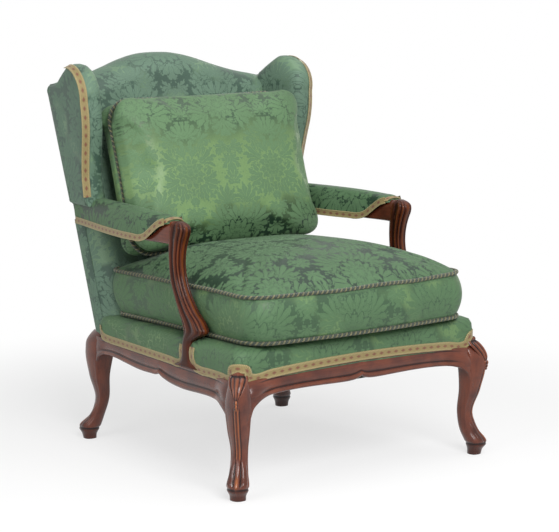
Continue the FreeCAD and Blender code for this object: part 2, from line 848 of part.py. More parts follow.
# Wings: a board ahead of the stile, an outside cover and an inside pad that rolls round the front
def wing_placement():
    """The wing stands on the arm pad, flared forwards and leaning out more than the stile beside it."""
    foot_z = size("arm_pad_top") + size("wing_bottom_gap")
    foot = Vector(-back_half(back_up(foot_z)) - size("wing_offset"), rear_line(foot_z), foot_z)
    flare = Rotation(Vector(0, 0, 1), -size("wing_flare"))
    spread = size("back_half_top") - size("back_half_bottom")
    stile_lean = math.degrees(math.atan(spread / back_up(size("crest_side"))))
    lean = Rotation(Vector(0, 1, 0), -stile_lean - size("wing_lean"))
    return Placement(foot, flare.multiply(lean))


def wing_steps(x):
    """Side outline of a wing about its lower rear corner, as seen from the left."""
    height = size("wing_top") - size("arm_pad_top") - size("wing_bottom_gap")

    def at(share, ahead):
        z = share * height
        return Vector(x, z * math.tan(RAKE) - ahead, z)

    return [
        (at(0, 2),),
        (at(0.753, 2),),
        (at(0.812, 7), at(0.831, 22)),
        (at(0.843, 51), at(0.873, 80)),
        (at(0.93, 113), at(1.0, 159)),
        (at(0.952, 218), at(0.735, 223)),
        (at(0.608, 212), at(0.479, 194)),
        (at(0.313, 165), at(0.163, 141)),
        (at(0, 126),),
    ]


def behind(ahead):
    """Everything behind a raked plane a distance ahead of a wing's rear edge."""
    rear = Part.makeBox(2 * AMPLE, AMPLE, 2 * AMPLE, Vector(-AMPLE, -ahead, -AMPLE))
    rear.rotate(Vector(0, 0, 0), Vector(1, 0, 0), -size("back_rake"))
    return rear


def wing_plate(x, thickness, inset=0.0, ahead=0.0):
    """A plate of the wing's outline, optionally inset, and only the part ahead of the stile."""
    face = profile_face(wing_steps(x))
    if inset:
        face = Part.Face(face.OuterWire.makeOffset2D(-inset))
    plate = face.extrude(Vector(thickness, 0, 0))
    return plate.cut(behind(ahead)) if ahead else plate


WING_REAR = size("back_cover_thickness") + size("stile_thickness") + size("wing_stile_gap")


def wing_pieces():
    """The outside cover, the board, the pad round it and the braid along the front edge."""
    cover = size("wing_cover_thickness")
    board = size("wing_frame_thickness")
    inset = size("wing_frame_inset")
    outside = wing_plate(0, cover)
    frame = wing_plate(cover + CLEAR, board, inset, WING_REAR)
    pad = wing_plate(cover + CLEAR, size("wing_thickness") - cover, 0, WING_REAR)
    pad = pad.cut(wing_plate(cover, board + 2 * CLEAR, inset - CLEAR, WING_REAR - CLEAR))
    edge = profile_face(wing_steps(-CLEAR)).extrude(Vector(-size("braid_thickness"), 0, 0))
    inside = Part.Face(profile_face(wing_steps(CLEAR)).OuterWire.makeOffset2D(-size("braid_width")))
    edge = edge.cut(inside.extrude(Vector(-4 * size("braid_width"), 0, 0)))
    return outside, frame, pad, edge.cut(behind(size("wing_braid_rear")))


wing_shapes = wing_pieces()
wing_names = ("wing_cover", "wing_frame", "wing_pad", "braid_wing")
for wing_name, wing_shape in zip(wing_names, wing_shapes):
    pair(wing_name, feature(wing_name, wing_shape, wing_placement()))


# Back: rails, webbing, canvas, inside pad and outside cover, all in the raked plane
# The bell-shaped crest: share of its rise above the sides, by share of the half width
CREST_RISE = {0.0: 1.0, 0.40: 0.72, 0.67: 0.37, 1.0: 0.03}


def crest_steps(half, drop, forward, level=1.0):
    """The crest line from right to left across the top of the back, lowered by a drop.

    A level of 1 keeps it at one height from rear to front, and 0 square to the back.
    """
    side = back_up(size("crest_side"))
    rise = back_up(size("crest_centre")) - side

    def at(share_x, sign):
        up = side + rise * CREST_RISE[share_x] - drop - level * forward * math.tan(RAKE)
        return back_point(sign * share_x * half, forward, up)

    return [
        (at(1.0, 1),),
        (at(0.67, 1), at(0.40, 1)),
        (at(0.0, 1), at(0.40, -1)),
        (at(0.67, -1), at(1.0, -1)),
    ]


def back_outline(inset, forward, bottom):
    """Outline of the back at a distance ahead of its rear face, with every side inset."""
    foot = bottom + inset
    half_top = back_half(back_up(size("crest_side"))) - inset
    half_foot = back_half(foot) - inset
    steps = [(back_point(-half_foot, forward, foot),), (back_point(half_foot, forward, foot),)]
    return steps + crest_steps(half_top, inset, forward)


FRAME_NEAR = size("back_cover_thickness") + 2 * CLEAR
FRAME_FAR = FRAME_NEAR + size("stile_thickness")
WEB_FAR = FRAME_FAR + CLEAR + 2 * size("web_thickness") + CLEAR
CANVAS_FAR = WEB_FAR + CLEAR + size("canvas_thickness")
PAD_REAR = CANVAS_FAR + CLEAR
PAD_FRONT = PAD_REAR + size("back_pad_depth")
STILE_TOP = back_up(size("crest_side")) - size("crest_padding") - size("top_rail_height")
PAD_FOOT = size("back_pad_foot")


def extrude_forward(face, depth):
    return face.extrude(Vector(0, -math.cos(RAKE), math.sin(RAKE)) * depth)


def top_rail():
    """The crest rail, dowelled on top of both stiles."""
    half = back_half(back_up(size("crest_side"))) - size("top_rail_inset")
    steps = [(back_point(-half, FRAME_NEAR, STILE_TOP),), (back_point(half, FRAME_NEAR, STILE_TOP),)]
    steps += crest_steps(half, size("crest_padding"), FRAME_NEAR, 0.0)
    return extrude_forward(profile_face(steps), size("stile_thickness"))


def back_pad():
    """A crowned front slab, and the roll that wraps over the crest rail to the rear."""
    rolled = size("back_pad_rolled")
    straight = size("back_pad_straight")
    wires = [profile_face(back_outline(0.0, PAD_REAR, PAD_FOOT)).OuterWire]
    for angle in (0.0, 22.5, 45.0, 67.5, 90.0):
        turn = math.radians(angle)
        forward = PAD_REAR + straight + (size("back_pad_depth") - straight) * math.sin(turn)
        wires.append(profile_face(back_outline(rolled * (1 - math.cos(turn)), forward, PAD_FOOT)).OuterWire)
    slab = loft(wires, True)
    half = back_half(back_up(size("crest_side")))
    roll = loft([crest_band(half, FRAME_NEAR), crest_band(half, PAD_REAR)], True)
    return slab.fuse(roll).removeSplitter()


def crest_band(half, forward):
    """Outline of the padding on top of the crest rail, at a distance ahead of the rear face."""
    upper = crest_steps(half, 0, forward)
    lower = crest_steps(half, size("crest_padding") - CLEAR, forward, 0.0)
    back_again = [(lower[-1][-1],)]
    for i in (-1, -2, -3):
        back_again.append((lower[i][0], lower[i - 1][-1]))
    return profile_face(upper + back_again).OuterWire


def outside_back():
    face = profile_face(back_outline(size("back_cover_inset"), CLEAR, size("back_cover_foot")))
    return extrude_forward(face, size("back_cover_thickness"))


def back_strip(x, up, forward, width, length):
    """One strip of webbing in the plane of the back, from its lower left corner."""
    strip = Part.makeBox(width, size("web_thickness"), length)
    strip.Placement = Placement(back_point(x, forward + size("web_thickness"), up), BACK_TURN)
    return strip


def back_webbing():
    """Three strips up the back and three across it, tacked to the rails and the stiles."""
    width = size("web_width")
    foot = size("bottom_rail_base") + size("web_margin")
    length = STILE_TOP + size("top_rail_height") / 2 - foot
    near = FRAME_FAR + CLEAR
    spacing = size("web_spacing")
    strips = [back_strip(x - width / 2, foot, near, width, length) for x in (-spacing, 0, spacing)]
    for share in (0.28, 0.52, 0.76):
        up = STILE_TOP * share
        half = back_half(up) - 2 * size("web_margin")
        strips.append(back_strip(-half, up, near + size("web_thickness") + CLEAR / 2, 2 * half, width))
    return Part.makeCompound(strips)


def back_canvas():
    margin = size("canvas_margin")
    face = profile_face(back_outline(margin, WEB_FAR + CLEAR, size("bottom_rail_base") - margin))
    return extrude_forward(face, size("canvas_thickness"))


node(cut("back_top_rail", feature("top_rail_blank", top_rail()), frame_dowels), "back_top_rail")
bottom_rail = doc.addObject("Part::Box", "bottom_rail_blank")
bottom_share = dim("bottom_rail_base") * math.cos(RAKE) / (dim("crest_side") - dim("rail_top"))
bottom_half = dim("back_half_bottom") + (dim("back_half_top") - dim("back_half_bottom")) * bottom_share
bottom_half = bottom_half - dim("stile_width")
bind(bottom_rail, "Length", bottom_half * 2)
bind(bottom_rail, "Width", dim("stile_thickness"))
bind(bottom_rail, "Height", dim("bottom_rail_height"))
bottom_corner = back_point(-float(bottom_half), FRAME_FAR, size("bottom_rail_base"))
bottom_rail.Placement = Placement(bottom_corner, BACK_TURN)
node(cut("back_bottom_rail", bottom_rail, frame_dowels), "back_bottom_rail")
node(feature("back_webbing", back_webbing()), "back_webbing")
node(feature("back_canvas", back_canvas()), "back_canvas")
node(feature("outside_back", outside_back()), "outside_back")


def wing_room():
    """The space that both wings fill, which the back pad is trimmed to."""
    room = wing_plate(-CLEAR, size("wing_thickness") + 2 * CLEAR, 0, WING_REAR - size("wing_pad_lap"))
    room.Placement = wing_placement()
    return room.fuse(room.mirror(Vector(0, 0, 0), Vector(1, 0, 0)))


arm_corner = Vector(-ARM_INNER - AMPLE, -AMPLE, under_arm - size("wing_bottom_gap"))
arm_room_height = size("arm_pad_top") - under_arm + 2 * size("wing_bottom_gap")
arm_room = Part.makeBox(AMPLE, 2 * AMPLE, arm_room_height, arm_corner)
arm_room = arm_room.fuse(arm_room.mirror(Vector(0, 0, 0), Vector(1, 0, 0)))
back_trim = feature("back_trim", wing_room().fuse(arm_room))
node(cut("back_pad", feature("back_pad_blank", back_pad()), back_trim), "back_pad")


def side_panel():
    """The covered side of the back below the arm, outside the stile."""
    head = back_up(under_arm) - size("side_panel_gap")
    thickness = size("side_panel_thickness")
    wires = []
    for up in (PAD_FOOT, head):
        near = -back_half(up) - CLEAR
        corners = [(near - thickness, CLEAR), (near, CLEAR), (near, PAD_REAR), (near - thickness, PAD_REAR)]
        points = [back_point(x, w, up) for x, w in corners]
        wires.append(Part.makePolygon(points + points[:1]))
    return loft(wires, True)


pair("side_panel", feature("side_panel", side_panel()))


# Seat deck: stuffed border and top over springs, canvas and webbing
def deck_wire(inset, z, tilted):
    """A plan outline of the deck at a height, tilted with the seat where asked."""
    corners = inset_polygon(deck_corners(), inset)
    points = []
    for x, y in corners:
        lift = (CENTRE_Y - y) * math.tan(math.radians(size("seat_slope"))) if tilted else 0.0
        points.append(Vector(x, y, z + lift))
    return rounded_wire(points, [size("deck_corner")] * len(points))


def deck_corners():
    """Plan of the deck: the seat frame, with its rear side just ahead of the back pad."""
    corners = frame_corners(size("deck_setback"))
    rear = deck_rear()
    trimmed = corners[:2]
    for x, y in corners[2:]:
        half = side_half(rear) - size("deck_setback")
        trimmed.append((half if x > 0 else -half, rear))
    return trimmed


def deck_rear():
    """Depth of the back pad's front face at the height of the deck, less a clearance."""
    return back_point(0, PAD_FRONT, PAD_FOOT).y - size("deck_setback")


def seat_deck():
    top = RAIL_TOP + size("deck_height")
    base = RAIL_TOP + CLEAR
    border_top = base + size("deck_border")
    border = loft([deck_wire(0, base, False), deck_wire(0, border_top, False)], True)
    edge = size("deck_edge")
    wires = [deck_wire(0, border_top, False)]
    for inset, drop in ((-edge / 12, 1.2 * edge), (edge / 4, edge / 3), (edge, 0.0)):
        wires.append(deck_wire(inset, top - drop, True))
    crown = loft(wires)
    hollow = plan_prism(inset_polygon(deck_corners(), size("deck_wall")), base - 1, canvas_top() - base + 1)
    return border.fuse(crown).cut(hollow).removeSplitter()


def canvas_top():
    """Height of the top of the canvas over the springs."""
    slope = math.tan(math.radians(size("seat_slope")))
    return RAIL_TOP + size("deck_height") - size("deck_stuffing") - slope * (deck_rear() - CENTRE_Y)


SPRING_MIDDLE = CENTRE_Y - size("spring_shift")


def spring_places():
    for column in (-1, 0, 1):
        for row in (-1, 0, 1):
            yield column * size("spring_pitch_x"), SPRING_MIDDLE + row * size("spring_pitch_y")


def biarc(start, start_way, end, end_way):
    """Two tangent arcs from one point and direction to another."""
    chord = end - start
    ways = start_way + end_way
    slack = 4.0 - ways.dot(ways)
    along = chord.dot(ways)
    reach = (math.sqrt(along * along + slack * chord.dot(chord)) - along) / slack
    first = start + start_way * reach
    second = end - end_way * reach
    joint = (first + second) * 0.5
    return [tangent_arc(start, first, joint), tangent_arc(joint, second, end)]


def tangent_arc(start, control, end):
    middle = (start + end) * 0.5
    rise = control - middle
    half_chord = (end - start).Length / 2
    angle = math.atan2(rise.Length, half_chord)
    return Part.Arc(start, middle + rise.normalize() * (half_chord * math.tan(angle / 2)), end).toShape()


def spring(x, y, low, high):
    """One waisted coil spring, its turns made of tangent arcs."""
    wire = size("spring_wire")
    turns = size("spring_turns")
    base = low + wire / 2
    height = high - low - wire
    waist = size("spring_waist")
    flare = size("spring_radius") - waist

    def place(half_turns):
        share = half_turns / (2 * turns)
        angle = math.pi * half_turns
        radius = waist + flare * (2 * share - 1) ** 2
        slope = 4 * flare * (2 * share - 1) / (2 * turns)
        point = Vector(x + radius * math.cos(angle), y + radius * math.sin(angle), base + height * share)
        way = Vector(
            slope * math.cos(angle) - radius * math.pi * math.sin(angle),
            slope * math.sin(angle) + radius * math.pi * math.cos(angle),
            height / (2 * turns))
        return point, way.normalize()

    edges = []
    for half_turn in range(int(round(2 * turns))):
        edges.extend(biarc(*place(half_turn), *place(half_turn + 1)))
    path = Part.Wire(edges)
    start, way = place(0)
    section = Part.Wire(Part.Circle(start, way, wire / 2).toShape())
    solid = path.makePipeShell([section], True, False)
    expected = math.pi * wire ** 2 / 4 * path.Length
    return solid, solid.Volume / expected, height / turns - wire


WEB_TOP = size("rail_ledge_height") - CLEAR
WEB_LOW = WEB_TOP - 2 * size("web_thickness") - CLEAR


def seat_webbing():
    """Strips front to back over strips side to side, tacked under the ledges of the rails."""
    thickness = size("web_thickness")
    width = size("web_width")
    grip = size("rail_ledge_width") - size("web_margin")
    inner = frame_corners(size("rail_thickness") - grip)
    front, rear = inner[0][1], inner[2][1] + size("rail_thickness") - size("rear_rail_thickness")
    upper = WEB_TOP - thickness
    strips = []
    for column in (-1, 0, 1):
        x = column * size("spring_pitch_x")
        strips.append(Part.makeBox(width, rear - front, thickness, Vector(x - width / 2, front, upper)))
    lower = upper - CLEAR - thickness
    for row in (-1, 0, 1):
        y = SPRING_MIDDLE + row * size("spring_pitch_y")
        half = side_half(y + width / 2) - size("rail_thickness") + grip
        strips.append(Part.makeBox(2 * half, width, thickness, Vector(-half, y - width / 2, lower)))
    return Part.makeCompound(strips)


def dust_cover():
    """Thin cloth that closes the underside, inside the lips of the rails."""
    corners = frame_corners(lip + size("deck_setback"))
    thickness = size("dust_cover_thickness")
    return plan_prism(corners, WEB_LOW - CLEAR - thickness, thickness)


springs = []
for spring_x, spring_y in spring_places():
    spring_shape, spring_match, spring_gap = spring(
        spring_x, spring_y, WEB_TOP + CLEAR, canvas_top() - size("canvas_thickness") - 2 * CLEAR)
    springs.append(spring_shape)
print("spring volume over section times length:", round(spring_match, 4))
print("gap between spring turns:", round(spring_gap, 2))
node(feature("seat_springs", Part.makeCompound(springs)), "seat_springs")
node(feature("seat_webbing", seat_webbing()), "seat_webbing")
node(cut("dust_cover", feature("dust_cover_blank", dust_cover()), *leg_blanks), "dust_cover")
canvas_corners = inset_polygon(deck_corners(), size("deck_wall") + CLEAR)
canvas_base = canvas_top() - size("canvas_thickness") - CLEAR
node(feature("seat_canvas", plan_prism(canvas_corners, canvas_base, size("canvas_thickness"))), "seat_canvas")

deck_blank = feature("seat_deck_blank", seat_deck())
node(cut("seat_deck", deck_blank, nodes["front_seat_rail"], support_board,
         mirrored("support_board_right", support_board), *leg_blanks), "seat_deck")


# Braid along the seat: an arched band on the front, straight bands on the sides
def front_braid():
    end = FRONT_HALF - size("front_braid_end")
    y = FRONT_Y + size("deck_setback") - CLEAR
    arch = size("front_rail_arch")
    share = 1.0 - (end / (FRONT_HALF - size("rail_reach_front"))) ** 2
    low = RAIL_TOP + size("front_braid_lift")
    width = size("braid_width")
    steps = [
        (Vector(-end, y, low + arch * share),),
        (Vector(0, y, low + arch), Vector(end, y, low + arch * share)),
        (Vector(end, y, low + arch * share + width),),
        (Vector(0, y, low + arch + width), Vector(-end, y, low + arch * share + width)),
    ]
    return profile_face(steps).extrude(Vector(0, -size("braid_thickness"), 0))


def side_braid():
    """One straight band on the left, later cut where the leg and the arm support stand."""
    turn = Rotation(Vector(0, 0, 1), side_rail_turn())
    length = size("foot_depth") - size("rail_reach_rear") - size("side_braid_end")
    band = Part.makeBox(length, size("braid_thickness"), size("braid_width"))
    corner = Vector(size("rail_reach_front"), CLEAR - size("deck_setback"), RAIL_TOP + 2 * CLEAR)
    return band, Placement(Vector(-FRONT_HALF, FRONT_Y, 0) + turn.multVec(corner), turn)


front_braid_blank = feature("front_braid_blank", front_braid())
front_braid_cut = cut("braid_seat_front", front_braid_blank, *leg_blanks[:2], nodes["front_seat_rail"])
node(front_braid_cut, "braid_seat_front")
side_braid_blank = feature("side_braid_blank", *side_braid())
pair("braid_seat", cut("braid_seat_side", side_braid_blank, support_board, *leg_blanks))


# Loose seat cushion: boxed, crowned, with drawn-in sides and a rope cord on both seams
def cushion_corners(z):
    """Plan corners at a height above the lower seam; the rear side leans with the back."""
    front = CENTRE_Y - size("cushion_front")
    lean = math.tan(math.radians(size("cushion_rear_lean")))
    rear = CENTRE_Y + size("cushion_rear") + lean * min(z, size("cushion_seam_height"))
    bow = size("cushion_front_bow")
    draw = size("cushion_side_draw")
    front_half = size("cushion_front_half")
    rear_half = size("cushion_rear_half")
    side = (front_half + rear_half) / 2 - draw
    middle = (front + rear) / 2
    return [
        (-front_half, front), (0, front - bow), (front_half, front), (side, middle),
        (rear_half, rear), (0, rear - draw), (-rear_half, rear), (-side, middle)]


# Rounding of each plan corner in turn, and the crown: inset from the seam and share of its rise
CUSHION_TRIMS = [52.0, 260.0, 52.0, 200.0, 44.0, 150.0, 44.0, 200.0]
CUSHION_CROWN = ((34.0, 0.42), (95.0, 0.8), (170.0, 1.0))


def cushion_wire(inset, z):
    points = [Vector(x, y, z) for x, y in inset_polygon(cushion_corners(z), inset)]
    return rounded_wire(points, CUSHION_TRIMS)


def cushion_solid(skin):
    """The boxed cushion above its lower seam, shrunk all round by a skin."""
    seam = size("cushion_seam_height")
    crown = size("cushion_crown")
    hug = CORD_RADIUS + 1.5 * SOFT_CLEAR + skin
    low = cushion_wire(hug + size("cushion_sole_inset"), skin - size("cushion_sole"))
    sole = loft([low, cushion_wire(hug, 0)], True)
    middle = cushion_wire(skin - size("cushion_bulge"), seam / 2)
    boxing = loft([cushion_wire(hug, 0), middle, cushion_wire(hug, seam)])
    wires = [cushion_wire(hug, seam)]
    for inset, share in CUSHION_CROWN:
        wires.append(cushion_wire(hug + inset, seam + share * crown - skin))
    return sole.fuse([boxing, loft(wires)]).removeSplitter()


def cord_ring(path):
    """A round cord along a closed path of lines and tangent arcs."""
    edge = path.Edges[1]
    start = edge.valueAt(edge.FirstParameter)
    way = edge.tangentAt(edge.FirstParameter)
    route = Part.Wire(path.Edges[1:] + path.Edges[:1])
    section = Part.Wire(Part.Circle(start, way, CORD_RADIUS).toShape())
    return route.makePipeShell([section], True, False)


def seat_cushion_placement():
    """The cushion lies on the deck and slopes up to the front with it."""
    top = RAIL_TOP + size("deck_height") + size("cushion_sole") + SOFT_CLEAR
    turn = Rotation(Vector(1, 0, 0), -size("seat_slope"))
    pivot = Vector(0, CENTRE_Y, 0)
    return Placement(Vector(0, 0, top) + pivot - turn.multVec(pivot), turn)


cushion_skin = size("cushion_skin")
cushion_hollow = cushion_solid(cushion_skin)
cushion_shapes = {
    "seat_cushion_cover": cushion_solid(0.0).cut(cushion_hollow),
    "seat_cushion_core": cushion_solid(cushion_skin + SOFT_CLEAR),
    "seat_cushion_cord_top": cord_ring(cushion_wire(0.0, size("cushion_seam_height"))),
    "seat_cushion_cord_bottom": cord_ring(cushion_wire(0.0, 0.0)),
}
for label, shape in cushion_shapes.items():
    node(feature(label, shape, seat_cushion_placement()), label)


# Loose back cushion: knife-edged, leaning on the back pad and standing on the seat cushion
def pillow_corners():
    half = size("pillow_half_width")
    height = size("pillow_height")
    draw = size("pillow_draw")
    return [
        (-half, 0), (0, draw / 2), (half, 0), (half - draw, height / 2),
        (half, height), (0, height - draw / 2), (-half, height), (-half + draw, height / 2)]


# Rounding of each corner in turn, and the crown: inset from the seam, shares of half thickness and of skin
PILLOW_TRIMS = [62.0, 150.0, 62.0, 110.0, 70.0, 150.0, 70.0, 110.0]
PILLOW_CROWN = ((13.0, 0.42, 0.5), (52.0, 0.82, 1.0), (115.0, 1.0, 1.0))


def pillow_wire(inset, forward):
    points = [Vector(x, -forward, up) for x, up in inset_polygon(pillow_corners(), inset)]
    return rounded_wire(points, PILLOW_TRIMS)


def pillow_solid(skin):
    """Two crowned halves that meet at the corded seam."""
    half = size("pillow_half_thickness")
    hug = CORD_RADIUS + SOFT_CLEAR + skin
    halves = []
    for sign in (1, -1):
        wires = [pillow_wire(hug, 0)]
        for inset, share, skin_share in PILLOW_CROWN:
            wires.append(pillow_wire(hug + inset, sign * (share * half - skin_share * skin)))
        halves.append(loft(wires))
    return halves[0].fuse(halves[1]).removeSplitter()


def pillow_placement():
    """Seam plane one half thickness ahead of the back pad, foot above the seat cushion's crown."""
    forward = PAD_FRONT + size("pillow_half_thickness") + SOFT_CLEAR
    slope = math.tan(math.radians(size("seat_slope")))
    seam_top = seat_cushion_placement().Base.z + size("cushion_seam_height")
    foot_z = seam_top + size("pillow_lift") + CORD_RADIUS
    up = (foot_z - RAIL_TOP - forward * math.sin(RAKE)) / math.cos(RAKE)
    drop = slope * (back_point(0, forward, up).y - CENTRE_Y)
    return Placement(back_point(0, forward, up - drop / math.cos(RAKE)), BACK_TURN)


pillow_hollow = pillow_solid(cushion_skin)
pillow_shapes = {
    "back_cushion_cover": pillow_solid(0.0).cut(pillow_hollow),
    "back_cushion_core": pillow_solid(cushion_skin + SOFT_CLEAR),
    "back_cushion_cord": cord_ring(pillow_wire(0.0, 0.0)),
}
for label, shape in pillow_shapes.items():
    node(feature(label, shape, pillow_placement()), label)

# Check and write
doc.recompute()
for thing in doc.Objects:
    if "Invalid" in thing.State or "Error" in thing.State:
        raise RuntimeError(f"{thing.Name} failed: {thing.State}")
for label, thing in nodes.items():
    if thing.Shape.isNull() or not thing.Shape.isValid() or not thing.Shape.Solids:
        raise RuntimeError(f"{label} has no valid solid")
os.makedirs("parts", exist_ok=True)
for label, thing in nodes.items():
    thing.Shape.exportStep(f"parts/{label}.step")
print(len(nodes), "nodes written")
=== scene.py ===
"""The looks of a traditional wing armchair with open arms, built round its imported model.

Metres. +Z is up, the chair faces -Y, and +X is the viewer's right when facing it.
"""
import math

import bmesh
import bpy
import numpy as np
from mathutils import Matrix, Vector
from mathutils.bvhtree import BVHTree
from mathutils.kdtree import KDTree

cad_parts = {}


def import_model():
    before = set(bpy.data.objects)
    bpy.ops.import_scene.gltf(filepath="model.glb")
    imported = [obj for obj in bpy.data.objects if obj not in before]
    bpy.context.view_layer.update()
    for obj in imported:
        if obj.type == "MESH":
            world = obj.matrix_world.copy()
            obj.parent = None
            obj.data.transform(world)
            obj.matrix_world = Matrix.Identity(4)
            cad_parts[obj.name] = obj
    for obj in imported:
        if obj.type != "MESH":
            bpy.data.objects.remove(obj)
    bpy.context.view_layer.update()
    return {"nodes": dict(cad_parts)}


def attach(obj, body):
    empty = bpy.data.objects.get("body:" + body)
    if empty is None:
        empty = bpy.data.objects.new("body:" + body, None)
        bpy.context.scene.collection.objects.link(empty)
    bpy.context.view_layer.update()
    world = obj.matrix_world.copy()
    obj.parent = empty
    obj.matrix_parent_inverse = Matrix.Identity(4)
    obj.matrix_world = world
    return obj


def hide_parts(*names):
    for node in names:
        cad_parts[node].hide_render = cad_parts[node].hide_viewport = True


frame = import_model()

MM = 0.001
FRAME_BODY = "chair_frame"
SEAT_BODY = "seat_cushion"
PILLOW_BODY = "back_cushion"

# Places shared with the solids
CENTRE_Y = -69.5
FOOT_DEPTH = 732.0
FRONT_HALF = 370.0
REAR_HALF = 315.0
FRONT_Y = CENTRE_Y - FOOT_DEPTH / 2
REAR_Y = CENTRE_Y + FOOT_DEPTH / 2
RAIL_TOP = 276.0
RAKE = math.radians(17.2)
BACK_Y = REAR_Y - 36.0
BACK_HALF_BOTTOM = 309.0
BACK_HALF_TOP = 323.0
CREST_SIDE = 909.0
PAD_FRONT = 95.8
SEAT_SLOPE = math.radians(1.4)
ARM_UNDERSIDE = 563.0
ARM_TOP = 633.0
ARM_CENTRE = 343.4


# Curves and grids
def smoothstep(low, high, value):
    share = np.clip((value - low) / (high - low), 0.0, 1.0)
    return share * share * (3.0 - 2.0 * share)


def hermite(knots, values, at):
    """A smooth curve through values at increasing knots."""
    knots = np.asarray(knots, float)
    values = np.asarray(values, float)
    at = np.clip(at, knots[0], knots[-1])
    slopes = np.gradient(values, knots)
    i = np.clip(np.searchsorted(knots, at, side="right") - 1, 0, len(knots) - 2)
    span = knots[i + 1] - knots[i]
    t = (at - knots[i]) / span
    rise = t * t * (3 - 2 * t)
    ease_in = t * (1 - t) ** 2 * span * slopes[i]
    ease_out = t * t * (t - 1) * span * slopes[i + 1]
    return values[i] * (1 - rise) + values[i + 1] * rise + ease_in + ease_out


def hump(value, centre, width, power=2):
    """1 at the centre, fading to 0 on both sides."""
    return np.exp(-(((value - centre) / width) ** power))


def plateau(value, rise, fall):
    """0, then 1 past a rise, then 0 again past a fall."""
    return smoothstep(*rise, value) * (1 - smoothstep(*fall, value))


def superellipse(turn, power):
    """The cosine and sine of a turn, squared off by a power."""
    across = np.cos(turn)
    up = np.sin(turn)
    return np.sign(across) * np.abs(across) ** power, np.sign(up) * np.abs(up) ** power


def unit(vectors):
    """Vectors of length 1, one in each row."""
    return vectors / np.linalg.norm(vectors, axis=1)[:, None]


def closed(line):
    """A line with its first point again at its end."""
    return np.concatenate([line, line[:1]])


def lengths(points):
    """Distance along a line of points, from its start."""
    steps = np.linalg.norm(np.diff(points, axis=0), axis=1)
    return np.concatenate(([0.0], np.cumsum(steps)))


def resample(points, count):
    """Evenly spaced points along a line of points."""
    points = np.asarray(points, float)
    along = lengths(points)
    at = np.linspace(0.0, along[-1], count)
    return np.stack([np.interp(at, along, points[:, k]) for k in range(points.shape[1])], axis=1)


def arc(start, through, end, count=13):
    """Points on the flat arc from start through a point to end."""
    ax, ay = start
    bx, by = through
    cx, cy = end
    d = 2 * (ax * (by - cy) + bx * (cy - ay) + cx * (ay - by))
    ux = ((ax**2 + ay**2) * (by - cy) + (bx**2 + by**2) * (cy - ay) + (cx**2 + cy**2) * (ay - by)) / d
    uy = ((ax**2 + ay**2) * (cx - bx) + (bx**2 + by**2) * (ax - cx) + (cx**2 + cy**2) * (bx - ax)) / d
    first = math.atan2(ay - uy, ax - ux)
    turn_mid = (math.atan2(by - uy, bx - ux) - first) % (2 * math.pi)
    turn_end = (math.atan2(cy - uy, cx - ux) - first) % (2 * math.pi)
    if turn_mid > turn_end:
        turn_end -= 2 * math.pi
    angles = first + np.linspace(0.0, turn_end, count)
    radius = math.hypot(ax - ux, ay - uy)
    return np.stack([ux + radius * np.cos(angles), uy + radius * np.sin(angles)], axis=1)


def outline(steps):
    """A line from steps: an end point, or a point on the arc and its end."""
    points = [np.array([steps[0][0]], float)]
    for step in steps[1:]:
        here = points[-1][-1]
        if len(step) == 1:
            points.append(np.array([step[0]], float))
        else:
            points.append(arc(here, step[0], step[1])[1:])
    return np.concatenate(points)


def corner_arcs(corners, trims):
    """A rounded arc for each corner of a polygon."""
    corners = np.asarray(corners, float)
    arcs = []
    for i, corner in enumerate(corners):
        before = corners[i - 1] - corner
        after = corners[(i + 1) % len(corners)] - corner
        trim = min(trims[i], 0.46 * np.linalg.norm(before), 0.46 * np.linalg.norm(after))
        before /= np.linalg.norm(before)
        after /= np.linalg.norm(after)
        angle = math.acos(np.clip(before @ after, -1, 1))
        middle = before + after
        middle /= np.linalg.norm(middle)
        radius = trim * math.tan(angle / 2)
        depth = radius / math.sin(angle / 2) - radius
        arcs.append(arc(corner + before * trim, corner + middle * depth, corner + after * trim))
    return arcs


def four_sides(corners, trims):
    """The sides of an eight-cornered rounded outline, from the middle of every second corner."""
    arcs = corner_arcs(corners, trims)
    half = len(arcs[0]) // 2
    sides = []
    for i in (0, 2, 4, 6):
        sides.append(np.concatenate([arcs[i][half:], arcs[i + 1], arcs[(i + 2) % 8][:half + 1]]))
    return sides


def inset(points, distance):
    """A closed counter-clockwise line moved inwards, its sides kept parallel."""
    before = unit(points - np.roll(points, 1, axis=0))
    after = unit(np.roll(points, -1, axis=0) - points)
    way = unit(before + after)
    reach = distance / np.maximum(np.sum(way * after, axis=1), 0.35)
    return points + np.stack([-way[:, 1], way[:, 0]], axis=1) * reach[:, None]


def four_sided(front, right, rear, left):
    """A grid that fills four sides, opposite ones running the same way, and the shares of its two ways."""
    s = np.linspace(0, 1, len(front))[None, :, None]
    t = np.linspace(0, 1, len(right))[:, None, None]
    flat = (1 - t) * front[None] + t * rear[None] + (1 - s) * left[:, None] + s * right[:, None]
    flat -= (1 - s) * (1 - t) * front[0] + s * (1 - t) * front[-1]
    flat -= (1 - s) * t * rear[0] + s * t * rear[-1]
    return flat, s[..., 0] + 0 * t[..., 0], t[..., 0] + 0 * s[..., 0]


def patch(sides, across, up):
    """A grid that fills four sides given in turn, and the shares of its two ways."""
    front, right, rear, left = (resample(side, n) for side, n in zip(sides, (across, up, across, up)))
    return four_sided(front, right, rear[::-1], left[::-1])


